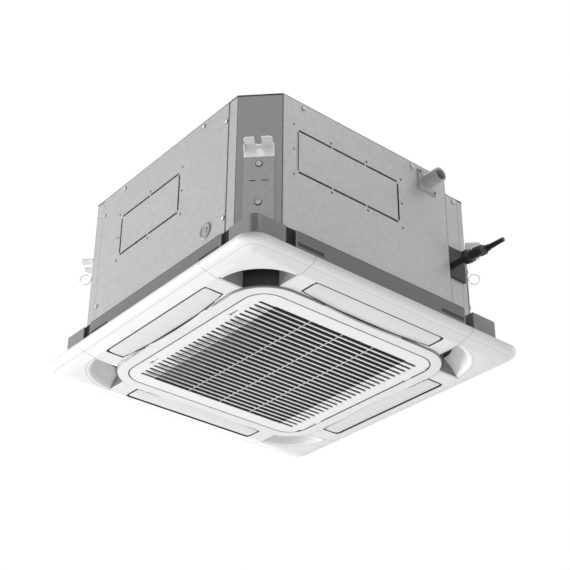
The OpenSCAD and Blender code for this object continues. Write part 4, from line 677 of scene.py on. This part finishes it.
def swept(shell, outline, corner, centre, turns):
    # a closed outline of radius and height, turned through one corner of the panel
    sx, sy = corner
    rows = []
    for step in range(scoop["steps"] + 1):
        turn = math.radians(turns[0] + (turns[1] - turns[0]) * step / scoop["steps"])
        c, s = math.cos(turn), math.sin(turn)
        rows.append([shell.verts.new((sx * (centre + r * c), sy * (centre + r * s), z)) for r, z in outline])
    for low, high in zip(rows, rows[1:]):
        for i in range(len(outline)):
            j = (i + 1) % len(outline)
            shell.faces.new((low[i], low[j], high[j], high[i]))
    shell.faces.new(rows[0])
    shell.faces.new(rows[-1])


def endWall(shell, corner, flip):
    # the upright wall at one end of a corner outlet
    sx, sy = corner
    gap, wall, centre = scoop["endGap"], scoop["wall"], scoop["centre"]
    for vert in bmesh.ops.create_cube(shell, size=1)["verts"]:
        along = scoop["inner"] if vert.co.x < 0 else scoop["outer"] - 2 * wall
        across = gap if vert.co.y < 0 else gap + wall
        z = scoop["face"] if vert.co.z < 0 else scoop["top"]
        u, v = (across, along) if flip else (along, across)
        vert.co = (sx * (centre + u), sy * (centre + v), z)


def shellPiece(name, shell, material, node, smooth=True):
    # a closed shell, its faces turned outwards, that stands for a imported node
    bmesh.ops.recalc_face_normals(shell, faces=shell.faces)
    attach(linked(name, meshFrom(name, shell, material, smooth)), node)


def cornerOutlets():
    wall, top, ringOut, roofLow = scoop["wall"], scoop["top"], scoop["ringOut"], scoop["roofLow"]
    back = [(r + wall, min(z + wall, top)) for r, z in reversed(scoop["guide"][1:])]
    shadeWell = [(ringOut, scoop["ringLow"]), (ringOut + wall, scoop["ringLow"]), (ringOut + wall, roofLow),
            (scoop["roofOut"], roofLow), (scoop["roofOut"], top), (ringOut, top)]
    guides, shadeWells = bmesh.new(), bmesh.new()
    for corner in [(sx, sy) for sx in (-1, 1) for sy in (-1, 1)]:
        swept(guides, list(scoop["guide"]) + back, corner, scoop["centre"], scoop["turn"])
        for flip in (False, True):
            endWall(guides, corner, flip)
        swept(shadeWells, shadeWell, corner, scoop["ringCentre"], scoop["ringTurn"])
    shellPiece("corner_guides", guides, paints["outletGrey"], scoop["node"])
    # black plastic that stands in for the shade deep in each outlet
    shellPiece("corner_wells", shadeWells, paints["blackPlastic"], scoop["node"])


cornerOutlets()
print("corner outlets scooped")

screw = {
    "node": "casing_screws", "sides": 16, "armEvery": 4, "armDepth": 0.3, "grow": 1.0,
    # radius and height of the head's rings, as shares of its radius, from the washer's rim inward
    "rings": ((1.32, 0.0), (1.32, 0.1), (1.02, 0.12), (1.0, 0.3), (0.9, 0.46), (0.68, 0.56), (0.46, 0.58),
              (0.18, 0.4)),
    "washerRings": 3, "armRings": (6, 7), "seatLean": 0.99, "seatDepth": 0.00001,
}


def screwHead():
    # pan head on a captive washer, its top drawn down along a cross; the washer's rings are marked for
    # painted shade round the head
    head = bmesh.new()
    washer = head.verts.layers.float.new("washer")
    rows = []
    for ring, (radius, height) in enumerate(screw["rings"]):
        rows.append([])
        for side in range(screw["sides"]):
            turn = math.tau * side / screw["sides"]
            inArm = ring in screw["armRings"] and side % screw["armEvery"] == 0
            z = height - (screw["armDepth"] * height if inArm else 0)
            vert = head.verts.new((radius * math.cos(turn), radius * math.sin(turn), z))
            vert[washer] = 1.0 if ring < screw["washerRings"] else 0.0
            rows[-1].append(vert)
    for low, high in zip(rows, rows[1:]):
        for i in range(screw["sides"]):
            j = (i + 1) % screw["sides"]
            head.faces.new((low[i], low[j], high[j], high[i]))
    head.faces.new(rows[-1])
    head.faces.new(reversed(rows[0]))
    return meshFrom("screwHead", head, None, smooth=False)


def islands(shell):
    # the vertices of each loose part of a merged copy
    waiting = set(shell.verts)
    while waiting:
        part = [waiting.pop()]
        for vert in part:
            for edge in vert.link_edges:
                far = edge.other_vert(vert)
                if far in waiting:
                    waiting.remove(far)
                    part.append(far)
        yield part


def screwPlaces(node):
    # seat, outward direction and head radius of every packed screw, whose largest face is its seat
    shell = mergedCopy(node)
    places = []
    for part in islands(shell):
        sides = {side for vert in part for side in vert.link_faces}
        areas = {}
        for side in sides:
            way = tuple(round(c, 2) for c in side.normal)
            areas[way] = areas.get(way, 0) + side.calc_area()
        inward = Vector(max(areas, key=areas.get)).normalized()
        under = min(side.calc_center_median().dot(inward) for side in sides
                    if side.normal.dot(inward) > screw["seatLean"])
        rim = [vert.co.copy() for vert in part if abs(vert.co.dot(inward) - under) < screw["seatDepth"]]
        middle = sum(rim, Vector()) / len(rim)
        places.append((tuple(round(c, 5) for c in middle), -inward, max((co - middle).length for co in rim)))
    shell.free()
    return sorted(places, key=lambda row: row[0])


def pointMesh(name, places, facings):
    # loose points that carry the way each copy faces
    mesh = bpy.data.meshes.new(name)
    mesh.from_pydata(places, [], [])
    facing = mesh.attributes.new("facing", "FLOAT_VECTOR", "POINT")
    for row, way in zip(facing.data, facings):
        row.vector = way
    return mesh


def screwHeads():
    places = screwPlaces(screw["node"])
    seats = pointMesh("casing_screw_heads", [row[0] for row in places], [row[1] for row in places])
    radii = seats.attributes.new("radius", "FLOAT", "POINT")
    for row, (_, _, radius) in zip(radii.data, places):
        row.value = radius
    head = bpy.data.objects.new("screwHead", screwHead())
    tree = Growth("screwTree", {"Grow": screw["grow"]})
    shape = tree.node("GeometryNodeObjectInfo", {}, {"Object": head}, "Geometry")
    radius = tree.attribute("radius", "FLOAT") * tree.given["Grow"]
    facing = tree.attribute("facing", "FLOAT_VECTOR")
    heads = tree.copies(tree.seat, shape, "Z", facing, tree.vector(radius, radius, radius))
    attach(tree.grow(heads, seats, paints["screwZinc"]), screw["node"])
    bpy.data.objects.remove(head)
    return len(places)


print("screws grown,", screwHeads())

filterNet = {
    "node": "air_filter", "frame": 0.009, "frameHeight": 0.004, "bars": 4, "bar": 0.003, "barHeight": 0.002,
    "pitch": 0.003, "wire": 0.0006,
}


def bars(name, boxes, material, node):
    # plain bars from their low and high corners
    shell = bmesh.new()
    for start, end in boxes:
        for vert in bmesh.ops.create_cube(shell, size=1)["verts"]:
            vert.co = Vector(a + (b - a) * (c + 0.5) for a, b, c in zip(start, end, vert.co))
    shellPiece(name, shell, material, node, smooth=False)


def filterFrame(low, high):
    # a rim round the net, and bars across it both ways
    rim, base = filterNet["frame"], low.z
    top, up, thick = base + filterNet["frameHeight"], base + filterNet["barHeight"], filterNet["bar"] / 2
    boxes = [((low.x, low.y, base), (low.x + rim, high.y, top)),
             ((high.x - rim, low.y, base), (high.x, high.y, top)),
             ((low.x, low.y, base), (high.x, low.y + rim, top)),
             ((low.x, high.y - rim, base), (high.x, high.y, top))]
    for i in range(1, filterNet["bars"] + 1):
        at = low.x + rim + i * (high.x - low.x - 2 * rim) / (filterNet["bars"] + 1)
        boxes.append(((at - thick, low.y, base), (at + thick, high.y, up)))
        boxes.append(((low.x, at - thick, base), (high.x, at + thick, up)))
    bars("filter_frame", boxes, paints["netDark"], filterNet["node"])


def filterWires(low, high):
    # straight wires at an even pitch, one layer on the other
    rim, pitch, wire = filterNet["frame"], filterNet["pitch"], filterNet["wire"]
    rows = int((high.x - low.x - 2 * rim) / pitch)
    lines = [(i - rows / 2) * pitch for i in range(1, rows)]
    height = low.z + 2 * wire
    places = [(at, 0, height) for at in lines] + [(0, at, height + wire) for at in lines]
    facings = [(0, 1, 0)] * len(lines) + [(1, 0, 0)] * len(lines)
    tree = Growth("netTree", {"Length": high.x - low.x - rim, "Wire": wire})
    size = tree.vector(tree.given["Wire"], tree.given["Wire"], tree.given["Length"])
    stick = tree.node("GeometryNodeMeshCube", {}, {"Size": size})
    wires = tree.copies(tree.seat, stick, "Z", tree.attribute("facing", "FLOAT_VECTOR"))
    attach(tree.grow(wires, pointMesh("filter_wires", places, facings), paints["netDark"]), filterNet["node"])
    return len(places)


netBox = [Vector(corner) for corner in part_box(filterNet["node"])]
filterFrame(*netBox)
print("filter woven,", filterWires(*netBox), "wires")

coil = {
    "node": "heat_exchanger", "middle": 0.217, "depth": 0.03, "bend": 0.031, "bendSteps": 12, "start": 0.172,
    "pitch": 0.0024, "fin": 0.0003, "sheet": 0.0012, "sheetLip": 0.0008,
}


def coilPath():
    # from the piping corner round three bends and back to it
    straight, bend = coil["middle"] - coil["bend"], coil["bend"]
    path = [(coil["middle"], coil["start"])]
    for sx, sy, first in ((1, -1, 0), (-1, -1, -90), (-1, 1, -180)):
        for step in range(coil["bendSteps"] + 1):
            turn = math.radians(first - 90 * step / coil["bendSteps"])
            path.append((sx * straight + bend * math.cos(turn), sy * straight + bend * math.sin(turn)))
    return path + [(coil["start"], coil["middle"])]


def coilFins(low, high):
    # upright fins at an even pitch along the bent coil
    path = [(x, y, (low.z + high.z) / 2) for x, y in coilPath()]
    spine = bpy.data.meshes.new("coil_fins")
    spine.from_pydata(path, [(i, i + 1) for i in range(len(path) - 1)], [])
    tree = Growth("finTree", {"Pitch": coil["pitch"], "Depth": coil["depth"], "Height": high.z - low.z,
                              "Fin": coil["fin"]})
    line = tree.node("GeometryNodeMeshToCurve", {}, [tree.seat])
    line = tree.node("GeometryNodeResampleCurve", {"mode": "LENGTH"}, {
        "Curve": line, "Length": tree.given["Pitch"]})
    size = tree.vector(tree.given["Fin"], tree.given["Depth"], tree.given["Height"])
    plate = tree.node("GeometryNodeMeshCube", {}, {"Size": size})
    fins = tree.copies(line, plate, "X", tree.node("GeometryNodeInputTangent"), pivot="Z")
    attach(tree.grow(fins, spine, paints["finAluminium"]), coil["node"])


def coilSheets(low, high):
    # the steel sheets that end the coil
    reach, start, edge = coil["depth"] / 2 + coil["sheetLip"], coil["start"], coil["start"] + coil["sheet"]
    near, far = coil["middle"] - reach, coil["middle"] + reach
    boxes = [((near, start, low.z), (far, edge, high.z)), ((start, near, low.z), (edge, far, high.z))]
    bars("coil_tube_sheets", boxes, paints["groundSteel"], coil["node"])


coilBox = [Vector(corner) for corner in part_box(coil["node"])]
coilFins(*coilBox)
coilSheets(*coilBox)
print("coil finned")

# the camera stands below and in front of the corner between the piping side and the front
shot = {"place": (1.68590, -1.37524, -1.12797), "target": (0.03975, -0.01777, 0.13942), "roll": 0.47,
        "lens": 81.67, "sensor": 36, "near": 0.01, "far": 60}
camera = linked("camera", bpy.data.cameras.new("camera"))
camera.data.lens, camera.data.sensor_width = shot["lens"], shot["sensor"]
camera.data.clip_start, camera.data.clip_end = shot["near"], shot["far"]
place = Vector(shot["place"])
aim = (Vector(shot["target"]) - place).to_track_quat("-Z", "Y").to_matrix().to_4x4()
camera.matrix_world = Matrix.Translation(place) @ aim @ Matrix.Rotation(math.radians(shot["roll"]), 4, "Z")
bpy.context.scene.camera = camera

room = {"floorHeight": -2.6, "floorSize": 24, "floorColour": (0.82, 0.82, 0.82), "floorRough": 0.8,
        "floorRoughSpread": 0.1, "speck": 0.4, "speckTone": 0.01, "ambient": 0.3, "backdrop": 1.0,
        "lampAim": (0, 0, 0.1)}
lamps = {
    "leftLamp": {"place": (-3.6, -2.2, -0.9), "size": 2.2, "watts": 235},
    "rightLamp": {"place": (2.2, 3.6, -0.2), "size": 2.2, "watts": 54},
    "lowLamp": {"place": (0.3, -0.3, -2.4), "size": 3.0, "watts": 20},
    "topLamp": {"place": (0.4, 0.8, 3.2), "size": 2.6, "watts": 60},
}
for name, look in lamps.items():
    light = bpy.data.lights.new(name, "AREA")
    light.shape, light.size, light.energy = "SQUARE", look["size"], look["watts"]
    lamp = linked(name, light)
    lamp.location = look["place"]
    lamp.rotation_euler = (Vector(room["lampAim"]) - lamp.location).to_track_quat("-Z", "Y").to_euler()
    lamp.visible_camera = False

half = room["floorSize"] / 2
floorCorners = [(x * half, y * half, room["floorHeight"]) for x, y in ((-1, -1), (1, -1), (1, 1), (-1, 1))]
floorMesh = bpy.data.meshes.new("floor")
floorMesh.from_pydata(floorCorners, [], [(0, 1, 2, 3)])
floor = linked("floor", floorMesh)
floorPaint = Paint("floorPaper")
speck = floorPaint.noise(room["speck"], detail=3)
floorMesh.materials.append(floorPaint.finish(
    Base_Color=floorPaint.tones(speck, room["floorColour"], 1 - room["speckTone"], 1 + room["speckTone"]),
    Roughness=room["floorRough"] + speck * room["floorRoughSpread"]))

world = bpy.data.worlds.new("studio")
world.use_nodes = True
bpy.context.scene.world = world
sky = Graph(world.node_tree)
rays = [sky.node("ShaderNodeLightPath", out=ray)
        for ray in ("Is Camera Ray", "Is Glossy Ray", "Is Transmission Ray")]
ambient = sky.node("ShaderNodeBackground", {}, {"Color": (1, 1, 1), "Strength": room["ambient"]})
backdrop = sky.node("ShaderNodeBackground", {}, {"Color": (1, 1, 1), "Strength": room["backdrop"]})
seen = (rays[0] + rays[1] + rays[2]) > 0.5
sky.node("ShaderNodeOutputWorld", {}, [sky.node("ShaderNodeMixShader", {}, [seen, ambient, backdrop])])
bpy.context.scene.view_settings.view_transform = "Standard"
print("camera, lamps and floor set")
